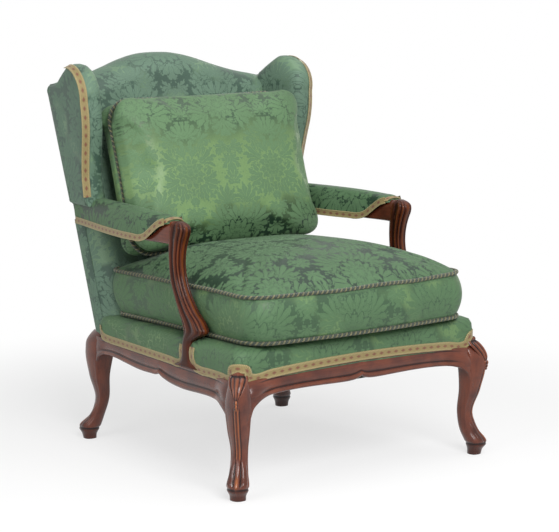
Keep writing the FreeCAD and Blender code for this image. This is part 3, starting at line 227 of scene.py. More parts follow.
# Meshes
def grid(points, cloth, closed=False):
    """Points, faces and cloth coordinates of a surface through a grid of points.

    A closed grid joins its last column to its first, and has one more column of cloth coordinates.
    """
    rows, columns = points.shape[:2]
    last = columns if closed else columns - 1
    r, c = np.meshgrid(np.arange(rows - 1), np.arange(last), indexing="ij")
    r = r.ravel()
    c = c.ravel()
    after = (c + 1) % columns
    row = r * columns
    below = row + columns
    faces = np.stack([row + c, row + after, below + after, below + c], axis=1)
    corners = np.stack([cloth[r, c], cloth[r, c + 1], cloth[r + 1, c + 1], cloth[r + 1, c]], axis=1)
    return points.reshape(-1, 3), faces.tolist(), corners.reshape(-1, 2)


def grid_edge(points):
    """The points round the edge of a grid."""
    return np.concatenate([points[0, :], points[:, -1], points[-1, :], points[:, 0]])


def cap(points, cloth):
    """A flat face across a closed line of points."""
    return points, [list(range(len(points)))], np.asarray(cloth)


def tube(points, along, painted_shading):
    """A closed grid of carved wood with a flat face at both ends."""
    cloth = np.stack([along + 0 * painted_shading, painted_shading], axis=-1)
    cloth = np.concatenate([cloth, cloth[:, :1]], axis=1)
    return grid(points, cloth, closed=True), cap(points[0], cloth[0, :-1]), cap(points[-1], cloth[-1, :-1])


def add_object(name, data):
    made = bpy.data.objects.new(name, data)
    bpy.context.scene.collection.objects.link(made)
    return made


def piece(name, *surfaces, weld=0.05 * MM):
    """One object from surfaces that share their edges."""
    points = []
    faces = []
    cloth = []
    for surface_points, surface_faces, surface_cloth in surfaces:
        start = sum(len(p) for p in points)
        points.append(surface_points)
        faces += [[start + i for i in face] for face in surface_faces]
        cloth.append(surface_cloth)
    mesh = bpy.data.meshes.new(name)
    mesh.from_pydata(np.concatenate(points).tolist(), [], faces)
    layer = mesh.uv_layers.new(name="cloth")
    layer.data.foreach_set("uv", np.concatenate(cloth).astype(np.float32).ravel())
    edit = bmesh.new()
    edit.from_mesh(mesh)
    bmesh.ops.remove_doubles(edit, verts=edit.verts, dist=weld)
    bmesh.ops.recalc_face_normals(edit, faces=edit.faces)
    edit.to_mesh(mesh)
    edit.free()
    mesh.polygons.foreach_set("use_smooth", [True] * len(mesh.polygons))
    return add_object(name, mesh)


def places(thing):
    flat = np.zeros(len(thing.data.vertices) * 3, np.float32)
    thing.data.vertices.foreach_get("co", flat)
    return flat.reshape(-1, 3).astype(float)


def set_places(thing, points):
    thing.data.vertices.foreach_set("co", points.astype(np.float32).ravel())
    thing.data.update()


def nearest(thing, points):
    """The vertices of a piece nearest to some points."""
    tree = KDTree(len(thing.data.vertices))
    for vertex in thing.data.vertices:
        tree.insert(vertex.co, vertex.index)
    tree.balance()
    return sorted({tree.find(Vector(p))[1] for p in points})


def refine(thing):
    smooth = thing.modifiers.new("smooth", "SUBSURF")
    smooth.levels = 1
    smooth.render_levels = 1


def dress(thing, materials, body, nodes=()):
    """Give a piece its materials and its body, and hide the nodes it stands for."""
    for material in materials:
        thing.data.materials.append(material)
    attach(thing, body)
    if nodes:
        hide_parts(*nodes)
    return thing


def flipped(surface):
    """The right-hand copy of a left-hand surface."""
    points, faces, cloth = surface
    mirror = points * np.array([-1.0, 1.0, 1.0])
    turned = [face[::-1] for face in faces]
    sizes = [len(face) for face in faces]
    starts = np.concatenate(([0], np.cumsum(sizes)[:-1]))
    order = np.concatenate([np.arange(start, start + count)[::-1] for start, count in zip(starts, sizes)])
    return mirror, turned, cloth[order] * np.array([-1.0, 1.0])


SWELL_STEPS = 20


def swell(thing, sewn, pressure, most):
    """Inflate a cushion by cloth simulation, held where it is sewn, and keep the result in its mesh."""
    rest = places(thing)
    group = thing.vertex_groups.new(name="sewn")
    group.add(sewn, 1.0, "REPLACE")
    cloth = thing.modifiers.new("swell", "CLOTH")
    settings = cloth.settings
    settings.quality = 6
    settings.mass = 0.3
    settings.tension_stiffness = 10.0
    settings.compression_stiffness = 10.0
    settings.shear_stiffness = 4.0
    settings.bending_stiffness = 0.35
    settings.use_pressure = True
    settings.uniform_pressure_force = pressure
    settings.vertex_group_mass = "sewn"
    settings.effector_weights.gravity = 0.0
    cloth.collision_settings.use_collision = False
    cloth.point_cache.frame_start = 1
    cloth.point_cache.frame_end = SWELL_STEPS
    scene = bpy.context.scene
    for step in range(1, SWELL_STEPS + 1):
        scene.frame_set(step)
    depsgraph = bpy.context.evaluated_depsgraph_get()
    result = thing.evaluated_get(depsgraph)
    moved = np.array([v.co for v in result.data.vertices], float)
    thing.modifiers.remove(cloth)
    thing.vertex_groups.remove(group)
    scene.frame_set(1)
    way = moved - rest
    far = np.linalg.norm(way, axis=1)
    limit = most * np.tanh(far / most) / np.maximum(far, 1e-9)
    set_places(thing, rest + way * limit[:, None])


# Shader nodes
class Nodes:
    """A tree of shader nodes, made from plain arithmetic."""

    def __init__(self, tree):
        self.tree = tree

    def node(self, kind, **settings):
        made = self.tree.nodes.new(kind)
        for key, value in settings.items():
            setattr(made, key, value)
        return made

    def link(self, value, socket):
        if isinstance(value, Wire):
            self.tree.links.new(value.socket, socket)
        else:
            socket.default_value = value

    def math(self, operation, *values):
        made = self.node("ShaderNodeMath", operation=operation)
        for value, socket in zip(values, made.inputs):
            self.link(value, socket)
        return Wire(self, made.outputs[0])

    def combine(self, x, y, z=0.0):
        made = self.node("ShaderNodeCombineXYZ")
        for value, socket in zip((x, y, z), made.inputs):
            self.link(value, socket)
        return Wire(self, made.outputs[0])

    def separate(self, vector):
        made = self.node("ShaderNodeSeparateXYZ")
        self.link(vector, made.inputs[0])
        return [Wire(self, made.outputs[i]) for i in range(3)]

    def cloth(self):
        """Cloth coordinates in metres."""
        made = self.node("ShaderNodeUVMap", uv_map="cloth")
        return Wire(self, made.outputs["UV"])

    def place(self):
        """Place in the chair's frame, in metres."""
        return Wire(self, self.node("ShaderNodeTexCoord").outputs["Object"])

    def noise(self, vector, scale, detail=2.0, roughness=0.5, distortion=0.0):
        made = self.node("ShaderNodeTexNoise")
        self.link(vector, made.inputs["Vector"])
        made.inputs["Scale"].default_value = scale
        made.inputs["Detail"].default_value = detail
        made.inputs["Roughness"].default_value = roughness
        made.inputs["Distortion"].default_value = distortion
        return Wire(self, made.outputs["Fac"])

    def step(self, value, low, high):
        """0 below low, 1 above high, smooth between."""
        made = self.node("ShaderNodeMapRange", interpolation_type="SMOOTHSTEP")
        self.link(value, made.inputs["Value"])
        self.link(low, made.inputs["From Min"])
        self.link(high, made.inputs["From Max"])
        return Wire(self, made.outputs["Result"])

    def mix(self, share, first, second):
        """A colour between two colours."""
        made = self.node("ShaderNodeMix", data_type="RGBA")
        self.link(share, made.inputs["Factor"])
        colours = [s for s in made.inputs if s.type == "RGBA"]
        for value, socket in zip((first, second), colours):
            self.link(value if isinstance(value, Wire) else (*value, 1.0), socket)
        return Wire(self, [s for s in made.outputs if s.type == "RGBA"][0])


class Shader(Nodes):
    """A material's nodes."""

    def __init__(self, name):
        self.material = bpy.data.materials.new(name)
        self.material.use_nodes = True
        super().__init__(self.material.node_tree)
        self.surface = self.tree.nodes["Principled BSDF"]

    def bump(self, height, distance, strength):
        made = self.node("ShaderNodeBump")
        self.link(height, made.inputs["Height"])
        made.inputs["Distance"].default_value = distance
        made.inputs["Strength"].default_value = strength
        self.tree.links.new(made.outputs["Normal"], self.surface.inputs["Normal"])

    def set(self, **values):
        """Values for the surface shader's sockets, by name with _ for a space."""
        for name, value in values.items():
            socket = self.surface.inputs[name.replace("_", " ")]
            if isinstance(value, tuple) and len(value) == 3:
                value = (*value, 1.0)
            self.link(value, socket)
        return self.material


class Wire:
    """One shader value, for use in arithmetic."""

    def __init__(self, shader, socket):
        self.shader = shader
        self.socket = socket

    def __add__(self, other):
        return self.shader.math("ADD", self, other)

    __radd__ = __add__

    def __sub__(self, other):
        return self.shader.math("SUBTRACT", self, other)

    def __rsub__(self, other):
        return self.shader.math("SUBTRACT", other, self)

    def __mul__(self, other):
        return self.shader.math("MULTIPLY", self, other)

    __rmul__ = __mul__

    def __abs__(self):
        return self.shader.math("ABSOLUTE", self)

    def cos(self):
        return self.shader.math("COSINE", self)

    def sin(self):
        return self.shader.math("SINE", self)

    def most(self, other):
        return self.shader.math("MAXIMUM", self, other)


# Damask: scalloped flowers and fans of lobed leaves, mirrored about upright lines and set in half-drop rows
REPEAT_WIDTH = 0.26
REPEAT_HEIGHT = 0.37


def flower(shader, a, v, ragged, radius, petals):
    """A flower of three rings of petals: its cover, its fine veins and the space round it."""
    r = shader.math("SQRT", a * a + v * v)
    angle = shader.math("ARCTAN2", a, v) * (petals / 2)
    scallop = abs(angle.cos())
    offset = abs(angle.sin())
    edge = scallop * (0.26 * radius) + 0.76 * radius + ragged
    inside = shader.step(edge - r, -0.0006, 0.0010)
    middle_edge = offset * (0.18 * radius) + 0.46 * radius + ragged
    heart_edge = scallop * (0.12 * radius) + 0.18 * radius
    gap = shader.step(abs(r - middle_edge), 0.0028, 0.0016)
    gap = gap.most(shader.step(abs(r - heart_edge), 0.0024, 0.0012))
    seam = shader.step(scallop * r + ragged, 0.0050, 0.0030)
    gap = gap.most(seam * shader.step(r - middle_edge, 0.0, 0.001))
    vein = shader.step(offset * r, 0.0030, 0.0012) * shader.step(r - middle_edge, 0.002, 0.004)
    return inside * (1.0 - gap * 0.5), vein * inside, shader.step(edge - r, -0.0062, -0.0052)


def leaf_fan(shader, a, v, ragged, place, heading, size, lobes):
    """A fan of toothed leaves that grows from a place: its cover, its fine veins and the space round it."""
    way = math.radians(heading)
    across_first = a - place[0]
    up_first = v - place[1]
    along = across_first * math.sin(way) + up_first * math.cos(way)
    across = across_first * math.cos(way) - up_first * math.sin(way)
    r = shader.math("SQRT", along * along + across * across)
    angle = shader.math("ARCTAN2", across, along)
    turn = angle * (lobes / 2) + r * (26.0 / size * 0.05)
    scallop = abs(turn.cos())
    edge = (angle * 0.5).cos() * (scallop * (0.36 * size) + 0.66 * size) + ragged * 1.4
    inside = shader.step(edge - r, -0.0006, 0.0010)
    notch = (r - edge * 0.45) * 0.34 + 0.0012
    gap = shader.step(scallop * r + ragged * 0.6 - notch, 0.0008, -0.0004)
    vein = shader.step(abs(turn.sin()) * r, 0.0026, 0.0010) * shader.step(r - edge * 0.2, 0.0, 0.002)
    return inside * (1.0 - gap), vein * inside, shader.step(edge - r, -0.0044, -0.0034)


# Place across and up from a flower, heading from upright, size and number of lobes of each fan
FIRST_FANS = (
    ((0.0, 0.044), 0, 0.060, 15), ((0.0, -0.050), 180, 0.052, 13), ((0.040, -0.022), 122, 0.066, 15),
    ((0.038, 0.038), 58, 0.068, 17), ((0.026, 0.100), 36, 0.052, 13), ((0.0, 0.158), 0, 0.036, 9),
    ((0.0, -0.150), 180, 0.042, 11), ((0.012, -0.120), 140, 0.036, 9))
SECOND_FANS = (
    ((0.0, 0.034), 0, 0.052, 13), ((0.030, -0.022), 128, 0.060, 15), ((0.030, 0.026), 62, 0.056, 15),
    ((0.0, -0.040), 180, 0.046, 13), ((0.006, 0.092), 24, 0.046, 13), ((0.0, -0.100), 180, 0.042, 11),
    ((0.034, 0.082), 78, 0.042, 11), ((0.0, 0.150), 0, 0.040, 11), ((0.0, -0.158), 180, 0.036, 9),
    ((0.022, 0.160), 64, 0.034, 9))


class Pattern(Nodes):
    """A group of nodes that several materials share."""

    def __init__(self, name, *outputs):
        super().__init__(bpy.data.node_groups.new(name, "ShaderNodeTree"))
        for output in outputs:
            self.tree.interface.new_socket(name=output, in_out="OUTPUT", socket_type="NodeSocketFloat")

    def give(self, *values):
        end = self.node("NodeGroupOutput")
        for value, socket in zip(values, end.inputs):
            self.link(value, socket)
        return self.tree


def damask_pattern():
    """1 on leaves and flowers and 0 on the satin ground, and the fine veins of leaves and petals."""
    shader = Pattern("damask_pattern", "figure", "veins")
    u, v, _ = shader.separate(shader.cloth())
    half = REPEAT_HEIGHT / 2
    near = shader.math("PINGPONG", u, REPEAT_WIDTH / 2)
    far = REPEAT_WIDTH / 2 - near
    where = shader.combine(near + 0.4, v)
    lobes = shader.node("ShaderNodeTexVoronoi", voronoi_dimensions="2D")
    shader.link(where, lobes.inputs["Vector"])
    lobes.inputs["Scale"].default_value = 128.0
    roundness = Wire(shader, lobes.outputs["Distance"])
    teeth = shader.node("ShaderNodeTexVoronoi", voronoi_dimensions="2D")
    shader.link(where, teeth.inputs["Vector"])
    teeth.inputs["Scale"].default_value = 270.0
    ragged = roundness * -0.0120 + Wire(shader, teeth.outputs["Distance"]) * -0.0050 + 0.0068
    wobble = shader.noise(where, 48.0, 1.0) * 0.020 - 0.010
    v_first = shader.math("WRAP", v, half, -half) + wobble
    v_second = shader.math("WRAP", v + half, half, -half) + wobble
    layers = [flower(shader, near, v_first, ragged, 0.052, 13)]
    layers.append(flower(shader, far, v_second, ragged, 0.042, 11))
    layers += [leaf_fan(shader, near + wobble, v_first, ragged, *fan) for fan in FIRST_FANS]
    layers += [leaf_fan(shader, far + wobble, v_second, ragged, *fan) for fan in SECOND_FANS]
    figure, veins, space = layers[0]
    for cover, ribs, margin in layers[1:]:
        free = 1.0 - space
        veins = veins.most(ribs * free)
        figure = figure.most(cover * free)
        space = space.most(margin)
    return shader.give(figure, veins)


DAMASK_PATTERN = damask_pattern()


def damask(name, ground, figure_colour, vein_colour, gloss, painted_sheen=None, painted_upper_sheen=None):
    """Silk damask: a shiny satin ground, with duller leaves and flowers woven into it.

    Where a sheen colour is given, patches of the ground take it as a painted satin sheen. On a swollen
    cushion the painted sheen is a band across the cloth instead, with a weaker painted sheen above it.
    """
    shader = Shader(name)
    pattern = shader.node("ShaderNodeGroup", node_tree=DAMASK_PATTERN)
    figure, veins = (Wire(shader, output) for output in pattern.outputs)
    cloth = shader.cloth()
    shimmer = shader.noise(cloth, 9.0, 3.0)
    u, v, _ = shader.separate(cloth)
    # Patches of painted satin sheen on the ground, placed by noise
    if painted_sheen and not painted_upper_sheen:
        ground = shader.mix(shader.step(shader.noise(cloth, 8.0, 1.0), 0.50, 0.62), ground, painted_sheen)
    # A band of painted satin sheen across the cushion, and a weaker painted sheen above it
    if painted_upper_sheen:
        drift = v + shimmer * 0.28 - 0.14
        painted_sheen_band = shader.step(drift, 0.03, 0.12) * shader.step(drift, 0.36, 0.20)
        ground = shader.mix(painted_sheen_band, shader.mix(shader.step(drift, 0.16, 0.30), ground, painted_upper_sheen), painted_sheen)
    slub = shader.noise(shader.combine(u * 900.0, v * 140.0), 1.0, 2.0)
    tone = shader.mix(figure, ground, figure_colour)
    fleck = shader.noise(cloth, 260.0, 2.0)
    tone = shader.mix(veins * 0.35, tone, vein_colour)
    # Lightness: a painted shimmer from the soft noise, with the slubs and flecks of the yarn
    light = shader.node("ShaderNodeHueSaturation")
    shader.link(shimmer * 0.44 + slub * 0.26 + fleck * 0.34 + 0.48, light.inputs["Value"])
    shader.link(tone, light.inputs["Color"])
    dull = figure * 0.22 + shimmer * 0.1 + gloss
    shader.bump(figure * 0.5 + slub * 0.5, 0.0008, 0.6)
    shader.set(Base_Color=Wire(shader, light.outputs[0]), Roughness=dull)
    return shader.set(
        Specular_IOR_Level=0.28, Anisotropic=0.45, Sheen_Weight=0.08, Sheen_Roughness=0.4,
        Sheen_Tint=(0.80, 0.92, 0.80))


def mahogany(name, light, dark, grain_scale, polish=0.3):
    """Polished red-brown wood, with painted shade darkening its grooves and a painted highlight on its
    ridges.

    The second cloth coordinate of a carved piece is its painted shading: -1 at the bottom of a groove,
    painted darkest, and 1 on a ridge, painted lightest.
    """
    shader = Shader(name)
    place = shader.place()
    x, y, z = shader.separate(place)
    _, painted_shading, _ = shader.separate(shader.cloth())
    grain = shader.noise(shader.combine(*[w * k for w, k in zip((x, y, z), grain_scale)]), 1.0, 4.0, 0.6, 0.4)
    cloud = shader.noise(place, 16.0, 3.0)
    tone = shader.mix(shader.step(grain * 0.3 + cloud * 0.8, 0.3, 0.8), dark, light)
    # Painted highlight: orange on the ridges
    tone = shader.mix(shader.step(painted_shading, 0.05, 1.0), tone, (0.34, 0.10, 0.022))
    # Painted shade: near black at the bottom of the grooves, where the coat is thinner too
    groove = shader.step(painted_shading, -0.05, -1.0)
    tone = shader.mix(groove * 0.95, tone, (0.006, 0.002, 0.002))
    shader.bump(grain, 0.0001, 0.15)
    shader.set(Base_Color=tone, Roughness=grain * 0.06 + 0.2, Coat_Weight=(1.0 - groove) * polish)
    return shader.set(Specular_IOR_Level=polish, Coat_Roughness=0.08)


def braid(name):
    """Woven gimp: two corded edges, a tan field and small rust diamonds along the middle."""
    shader = Shader(name)
    u, v, _ = shader.separate(shader.cloth())
    across = abs(v)
    edge = shader.step(across, 0.0056, 0.0066)
    spot = shader.math("PINGPONG", u, 0.0115)
    diamond = shader.step(spot * 0.5 + across, 0.0042, 0.0032)
    ladder = (u * 1900.0).sin()
    slant = ((u + v * 0.8) * 1500.0).sin()
    field = shader.mix(ladder * 0.5 + 0.5, (0.16, 0.118, 0.042), (0.27, 0.21, 0.08))
    rope = shader.mix(slant * 0.5 + 0.5, (0.15, 0.112, 0.042), (0.39, 0.32, 0.14))
    tone = shader.mix(edge, field, rope)
    tone = shader.mix(diamond * 0.85, tone, (0.13, 0.034, 0.018))
    shader.bump(edge * (slant * 0.25 + 0.6) + ladder * 0.12 + diamond * 0.3, 0.0009, 0.8)
    shader.set(Base_Color=tone)
    return shader.set(Roughness=0.62, Sheen_Weight=0.2)


def strand(name, light, dark):
    """One ply of silk cord, with fine twisted threads."""
    shader = Shader(name)
    u, v, _ = shader.separate(shader.cloth())
    threads = ((u * 2.0 + v) * 2200.0).sin()
    shader.bump(threads, 0.0003, 0.4)
    shader.set(Base_Color=shader.mix(threads * 0.5 + 0.5, dark, light))
    return shader.set(Roughness=0.45, Sheen_Weight=0.3)


def plain_weave(name, light, dark, scale):
    """Coarse cloth seen only from below or inside."""
    shader = Shader(name)
    x, y, z = shader.separate(shader.place())
    weave = (x * scale).sin() * (y * scale + z * scale).sin()
    shade = shader.noise(shader.place(), 30.0, 3.0)
    shader.bump(weave, 0.0004, 0.5)
    shader.set(Base_Color=shader.mix(weave * 0.25 + shade * 0.6 + 0.1, dark, light))
    return shader.set(Roughness=0.85)


def steel(name):
    shader = Shader(name)
    scratches = shader.noise(shader.place(), 900.0, 2.0)
    shader.set(Roughness=scratches * 0.25 + 0.25)
    return shader.set(Base_Color=(0.42, 0.41, 0.40), Metallic=1.0)


# Painted light: these are copies of one green damask, toned by how the light falls on them. The level seat
# top and arm pads get the darkest ground and figure. Upright faces get a lighter ground. The back, sides and
# wings get a cooler, lighter copy as painted sky reflection, and the pillow gets a lighter figure. The
# colours mixed into the ground here and there are painted satin sheen.
GROUND = (0.013, 0.034, 0.018)
FIGURE = (0.070, 0.136, 0.065)
VEIN = (0.14, 0.23, 0.13)
UPRIGHT_GROUND = (0.040, 0.082, 0.042)
UPRIGHT_PAINTED_SHEEN = (0.108, 0.188, 0.078)
BACK_GROUND = (0.046, 0.086, 0.062)
BACK_PAINTED_SHEEN = (0.130, 0.215, 0.130)
BACK_FIGURE = (0.104, 0.172, 0.122)
PILLOW_FIGURE = (0.094, 0.174, 0.084)
PILLOW_PAINTED_SHEEN = (0.140, 0.235, 0.094)
PILLOW_UPPER_PAINTED_SHEEN = (0.040, 0.078, 0.042)
DAMASK = damask("green_damask", GROUND, FIGURE, VEIN, 0.34)
UPRIGHT_DAMASK = damask("upright_damask", UPRIGHT_GROUND, FIGURE, VEIN, 0.34, UPRIGHT_PAINTED_SHEEN)
BACK_DAMASK = damask("back_damask", BACK_GROUND, BACK_FIGURE, VEIN, 0.36, BACK_PAINTED_SHEEN)
PILLOW_DAMASK = damask("pillow_damask", GROUND, PILLOW_FIGURE, VEIN, 0.32, PILLOW_PAINTED_SHEEN, PILLOW_UPPER_PAINTED_SHEEN)
UPRIGHT_GRAIN = (240.0, 240.0, 14.0)
LEVEL_GRAIN = (16.0, 16.0, 240.0)
WOOD_LIGHT = (0.145, 0.034, 0.014)
WOOD_DARK = (0.050, 0.011, 0.007)
WOOD = mahogany("mahogany_upright", WOOD_LIGHT, WOOD_DARK, UPRIGHT_GRAIN)
RAIL_WOOD = mahogany("mahogany_level", WOOD_LIGHT, WOOD_DARK, LEVEL_GRAIN)
POST_WOOD = mahogany("mahogany_post", (0.080, 0.017, 0.006), (0.024, 0.006, 0.003), UPRIGHT_GRAIN, 0.12)
FRAME_WOOD = mahogany("frame_beech", (0.42, 0.27, 0.15), (0.30, 0.18, 0.09), LEVEL_GRAIN)
BRAID = braid("gimp_braid")
CORD_GREEN = strand("cord_green", (0.022, 0.042, 0.024), (0.006, 0.013, 0.008))
CORD_GOLD = strand("cord_gold", (0.22, 0.20, 0.09), (0.10, 0.09, 0.035))
DUST = plain_weave("dust_cloth", (0.16, 0.16, 0.165), (0.06, 0.06, 0.065), 4200.0)
CANVAS = plain_weave("canvas", (0.50, 0.42, 0.30), (0.30, 0.24, 0.16), 2600.0)
WEBBING = plain_weave("webbing", (0.34, 0.26, 0.15), (0.16, 0.11, 0.06), 1800.0)
STEEL = steel("spring_steel")


# Frames of reference
def back_place(x, forward, up):
    """Places by distance ahead of the rear face of the back and up along its rake, from millimetres."""
    y = BACK_Y + up * math.sin(RAKE) - forward * math.cos(RAKE)
    z = RAIL_TOP + up * math.cos(RAKE) + forward * math.sin(RAKE)
    return np.stack([x + 0 * y, y + 0 * x, z + 0 * x], axis=-1) * MM


def back_up(height):
    return (height - RAIL_TOP) / math.cos(RAKE)


def back_half(up):
    return BACK_HALF_BOTTOM + (BACK_HALF_TOP - BACK_HALF_BOTTOM) * up / back_up(CREST_SIDE)


def rear_line(z):
    return BACK_Y + (z - RAIL_TOP) * math.tan(RAKE)


def side_half(y):
    """Half width of the seat frame at a depth."""
    return FRONT_HALF + (REAR_HALF - FRONT_HALF) * (y - FRONT_Y) / FOOT_DEPTH


def seat_place(x, y, z):
    """Places on the sloping seat cushion, from depth ahead of the middle and height above its lower seam."""
    low = RAIL_TOP + SEAT_LIFT
    wave = 1.7 * np.sin(x / 41.0 + 0.8) * np.cos(y / 57.0) * np.clip(z / SEAM, 0.0, 1.0)
    depth = y * math.cos(SEAT_SLOPE) + z * math.sin(SEAT_SLOPE) + CENTRE_Y
    height = z * math.cos(SEAT_SLOPE) - y * math.sin(SEAT_SLOPE) + low + wave
    return np.stack([x + 0 * depth, depth, height], axis=-1) * MM


# Loose seat cushion
SEAM = 108.0
SEAT_LIFT = 75.6
SEAT_FRONT = -377.0
SEAT_REAR = 260.0
SEAT_REAR_LEAN = math.radians(14.0)
SEAT_PRESSURE = 4.0
SEAT_SWELL = 22 * MM
SEWN_IN = 3.0
BORDER_BULGE = 13.0
BORDER_ROWS = 13
SEAT_TRIMS = [66.0, 250.0, 66.0, 190.0, 44.0, 150.0, 44.0, 190.0]


def seat_corners(z):
    rear = SEAT_REAR + math.tan(SEAT_REAR_LEAN) * min(z, SEAM)
    middle = (rear + SEAT_FRONT) / 2
    return np.array([
        (-331, SEAT_FRONT), (0, SEAT_FRONT - 28), (331, SEAT_FRONT), (308, middle),
        (298, rear), (0, rear - 4), (-298, rear), (-308, middle)], float)


def seat_sides(z, distance):
    return four_sides(inset(seat_corners(z), distance), SEAT_TRIMS)


def seat_cushion():
    """A boxed cushion: crowned top, bulging border drawn in at its seams, flatter sole."""
    across = 97
    up = 89
    surfaces = []
    edges = []
    for z, rise in ((0.0, -7.0), (SEAM, 70.0)):
        flat, s, t = patch(seat_sides(z, SEWN_IN), across, up)
        full = (1 - np.abs(2 * s - 1) ** 3.6) * (1 - np.abs(2 * t - 1) ** 3.6)
        height = z + rise * np.maximum(full, 0) ** 0.62 * (1 - 0.4 * smoothstep(0.72, 0.95, t))
        points = seat_place(flat[..., 0], flat[..., 1], height)
        surfaces.append(grid(points, flat * MM))
        edges.append(grid_edge(points))
    rows = []
    for share in np.linspace(0.0, 1.0, BORDER_ROWS):
        bulge = SEWN_IN - BORDER_BULGE * math.sin(math.pi * share) ** 0.8
        sides = seat_sides(share * SEAM, bulge)
        counts = (across, up, across, up)
        loop = np.concatenate([resample(side, n)[:-1] for side, n in zip(sides, counts)])
        rows.append(seat_place(loop[:, 0], loop[:, 1], np.full(len(loop), share * SEAM)))
    rows = np.array(rows)
    around = lengths(closed(rows[0]))
    cloth = np.stack(np.meshgrid(around, np.linspace(0, SEAM * MM, BORDER_ROWS)), axis=-1)
    surfaces.append(grid(rows, cloth, closed=True))
    made = piece("seat_cushion_pad", *surfaces, weld=0.2 * MM)
    panel_faces = 2 * (across - 1) * (up - 1)
    for polygon in made.data.polygons:
        polygon.material_index = int(polygon.index >= panel_faces)
    swell(made, nearest(made, np.concatenate(edges)), SEAT_PRESSURE, SEAT_SWELL)
    return made


# Loose back cushion
PILLOW_TRIMS = [62.0, 150.0, 62.0, 110.0, 70.0, 150.0, 70.0, 110.0]
PILLOW_FORWARD = PAD_FRONT + 92.6
PILLOW_FOOT = 170.7
PILLOW_MIDDLE = 202.0
PILLOW_DEPTHS = (84.0, -70.0)
PILLOW_PRESSURE = 3.0
PILLOW_SWELL = 14 * MM


def pillow_corners():
    return np.array([
        (-286, 0), (0, 5), (286, 0), (276, PILLOW_MIDDLE), (286, 404), (0, 399), (-286, 404),
        (-276, PILLOW_MIDDLE)], float)


def pillow_place(x, forward, up):
    return back_place(x, PILLOW_FORWARD + forward, PILLOW_FOOT + up)


def back_cushion():
    """A plump knife-edged cushion: its two halves swell out past the seam before they crown."""
    across = 91
    up = 67
    sides = four_sides(inset(pillow_corners(), 4.0), PILLOW_TRIMS)
    flat, s, t = patch(sides, across, up)
    from_edge = 1 - (np.abs(2 * s - 1) ** 9 + np.abs(2 * t - 1) ** 9) ** (1 / 9)
    from_edge = np.clip(from_edge, 0.0, 1.0)
    steps = [0.0, 0.05, 0.10, 0.18, 0.32, 0.6, 1.0]
    spread = hermite(steps, [1.0, 1.098, 1.158, 1.235, 1.30, 1.33, 1.33], from_edge)
    swollen = hermite(steps, [0.0, 0.30, 0.48, 0.66, 0.84, 0.97, 1.0], from_edge)
    middle = np.array([0.0, PILLOW_MIDDLE])
    face = middle + (flat - middle) * spread[..., None]
    surfaces = []
    for depth in PILLOW_DEPTHS:
        points = pillow_place(face[..., 0], depth * swollen, face[..., 1])
        surfaces.append(grid(points, face * MM * np.array([math.copysign(1.0, depth), 1.0])))
    made = piece("back_cushion_pad", *surfaces, weld=0.2 * MM)
    swell(made, nearest(made, grid_edge(points)), PILLOW_PRESSURE, PILLOW_SWELL)
    points = places(made)
    back = (points[:, 1] - BACK_Y * MM) * math.cos(RAKE) - (points[:, 2] - RAIL_TOP * MM) * math.sin(RAKE)
    over = np.maximum(back + (PAD_FRONT + 1.0) * MM, 0.0)
    points[:, 1] -= over * math.cos(RAKE)
    points[:, 2] += over * math.sin(RAKE)
    set_places(made, points)
    return made


PRESSED_BEHIND = -20 * MM
PRESSED_ABOVE = (RAIL_TOP + 90.0) * MM
PRESSED_GAP = 1.5 * MM


def rest_on(seat, pillow):
    """Press the seat cushion down where the back cushion stands on it."""
    faces = [list(face.vertices) for face in pillow.data.polygons]
    tree = BVHTree.FromPolygons(places(pillow).tolist(), faces)
    points = places(seat)
    for i in np.where((points[:, 1] > PRESSED_BEHIND) & (points[:, 2] > PRESSED_ABOVE))[0]:
        below = Vector((points[i, 0], points[i, 1], PRESSED_ABOVE))
        hit = tree.ray_cast(below, Vector((0.0, 0.0, 1.0)))[0]
        if hit is not None:
            points[i, 2] = min(points[i, 2], hit.z - PRESSED_GAP)
    set_places(seat, points)


# Rope cord
ROPE_RADIUS = 5.0 * MM
ROPE_PITCH = 13.5 * MM
ROPE_STEP = 1.6 * MM
PLIES = 3


def rope(name, path, normal):
    """A closed twisted cord along a path, one of its plies gold and the others green."""
    loop = closed(path)
    path = resample(loop, int(lengths(loop)[-1] / ROPE_STEP))[:-1]
    along = lengths(closed(path))
    turns = round(along[-1] / ROPE_PITCH)
    way = unit(np.roll(path, -1, axis=0) - np.roll(path, 1, axis=0))
    side = unit(np.cross(way, np.asarray(normal, float)))
    up = np.cross(side, way)
    ring = np.linspace(0, 2 * math.pi, 8, endpoint=False)
    surfaces = []
    for ply in range(PLIES):
        angle = 2 * math.pi * (turns * along[:-1] / along[-1] + ply / PLIES)
        reach = 0.54 * ROPE_RADIUS
        middle = path + reach * (np.cos(angle)[:, None] * side + np.sin(angle)[:, None] * up)
        rows = [middle + 0.5 * ROPE_RADIUS * (math.cos(a) * side + math.sin(a) * up) for a in ring]
        rows.append(rows[0])
        points = np.array(rows)
        cloth = np.stack(np.meshgrid(along, np.linspace(0, math.pi * ROPE_RADIUS, 9)), axis=-1)
        surfaces.append(grid(points, cloth, closed=True))
    made = piece(name, *surfaces, weld=0.01 * MM)
    faces_per_ply = len(made.data.polygons) // PLIES
    for polygon in made.data.polygons:
        polygon.material_index = int(polygon.index < faces_per_ply)
    return made


def seat_cord(z):
    loop = np.concatenate([side[:-1] for side in seat_sides(z, 0.0)])
    return seat_place(loop[:, 0], loop[:, 1], np.full(len(loop), z))


def pillow_cord():
    loop = np.concatenate([side[:-1] for side in four_sides(pillow_corners(), PILLOW_TRIMS)])
    return pillow_place(loop[:, 0], np.zeros(len(loop)), loop[:, 1])


# Seat deck
DECK_PROFILE = [
    (0, 0.3), (-1.5, 10), (-4, 24), (-5, 38), (-2.5, 52), (4, 61), (14, 66), (40, 67.6), (90, 67.8),
    (220, 67.8)]
DECK_CORNER = 26.0
DECK_SETBACK = 2.0


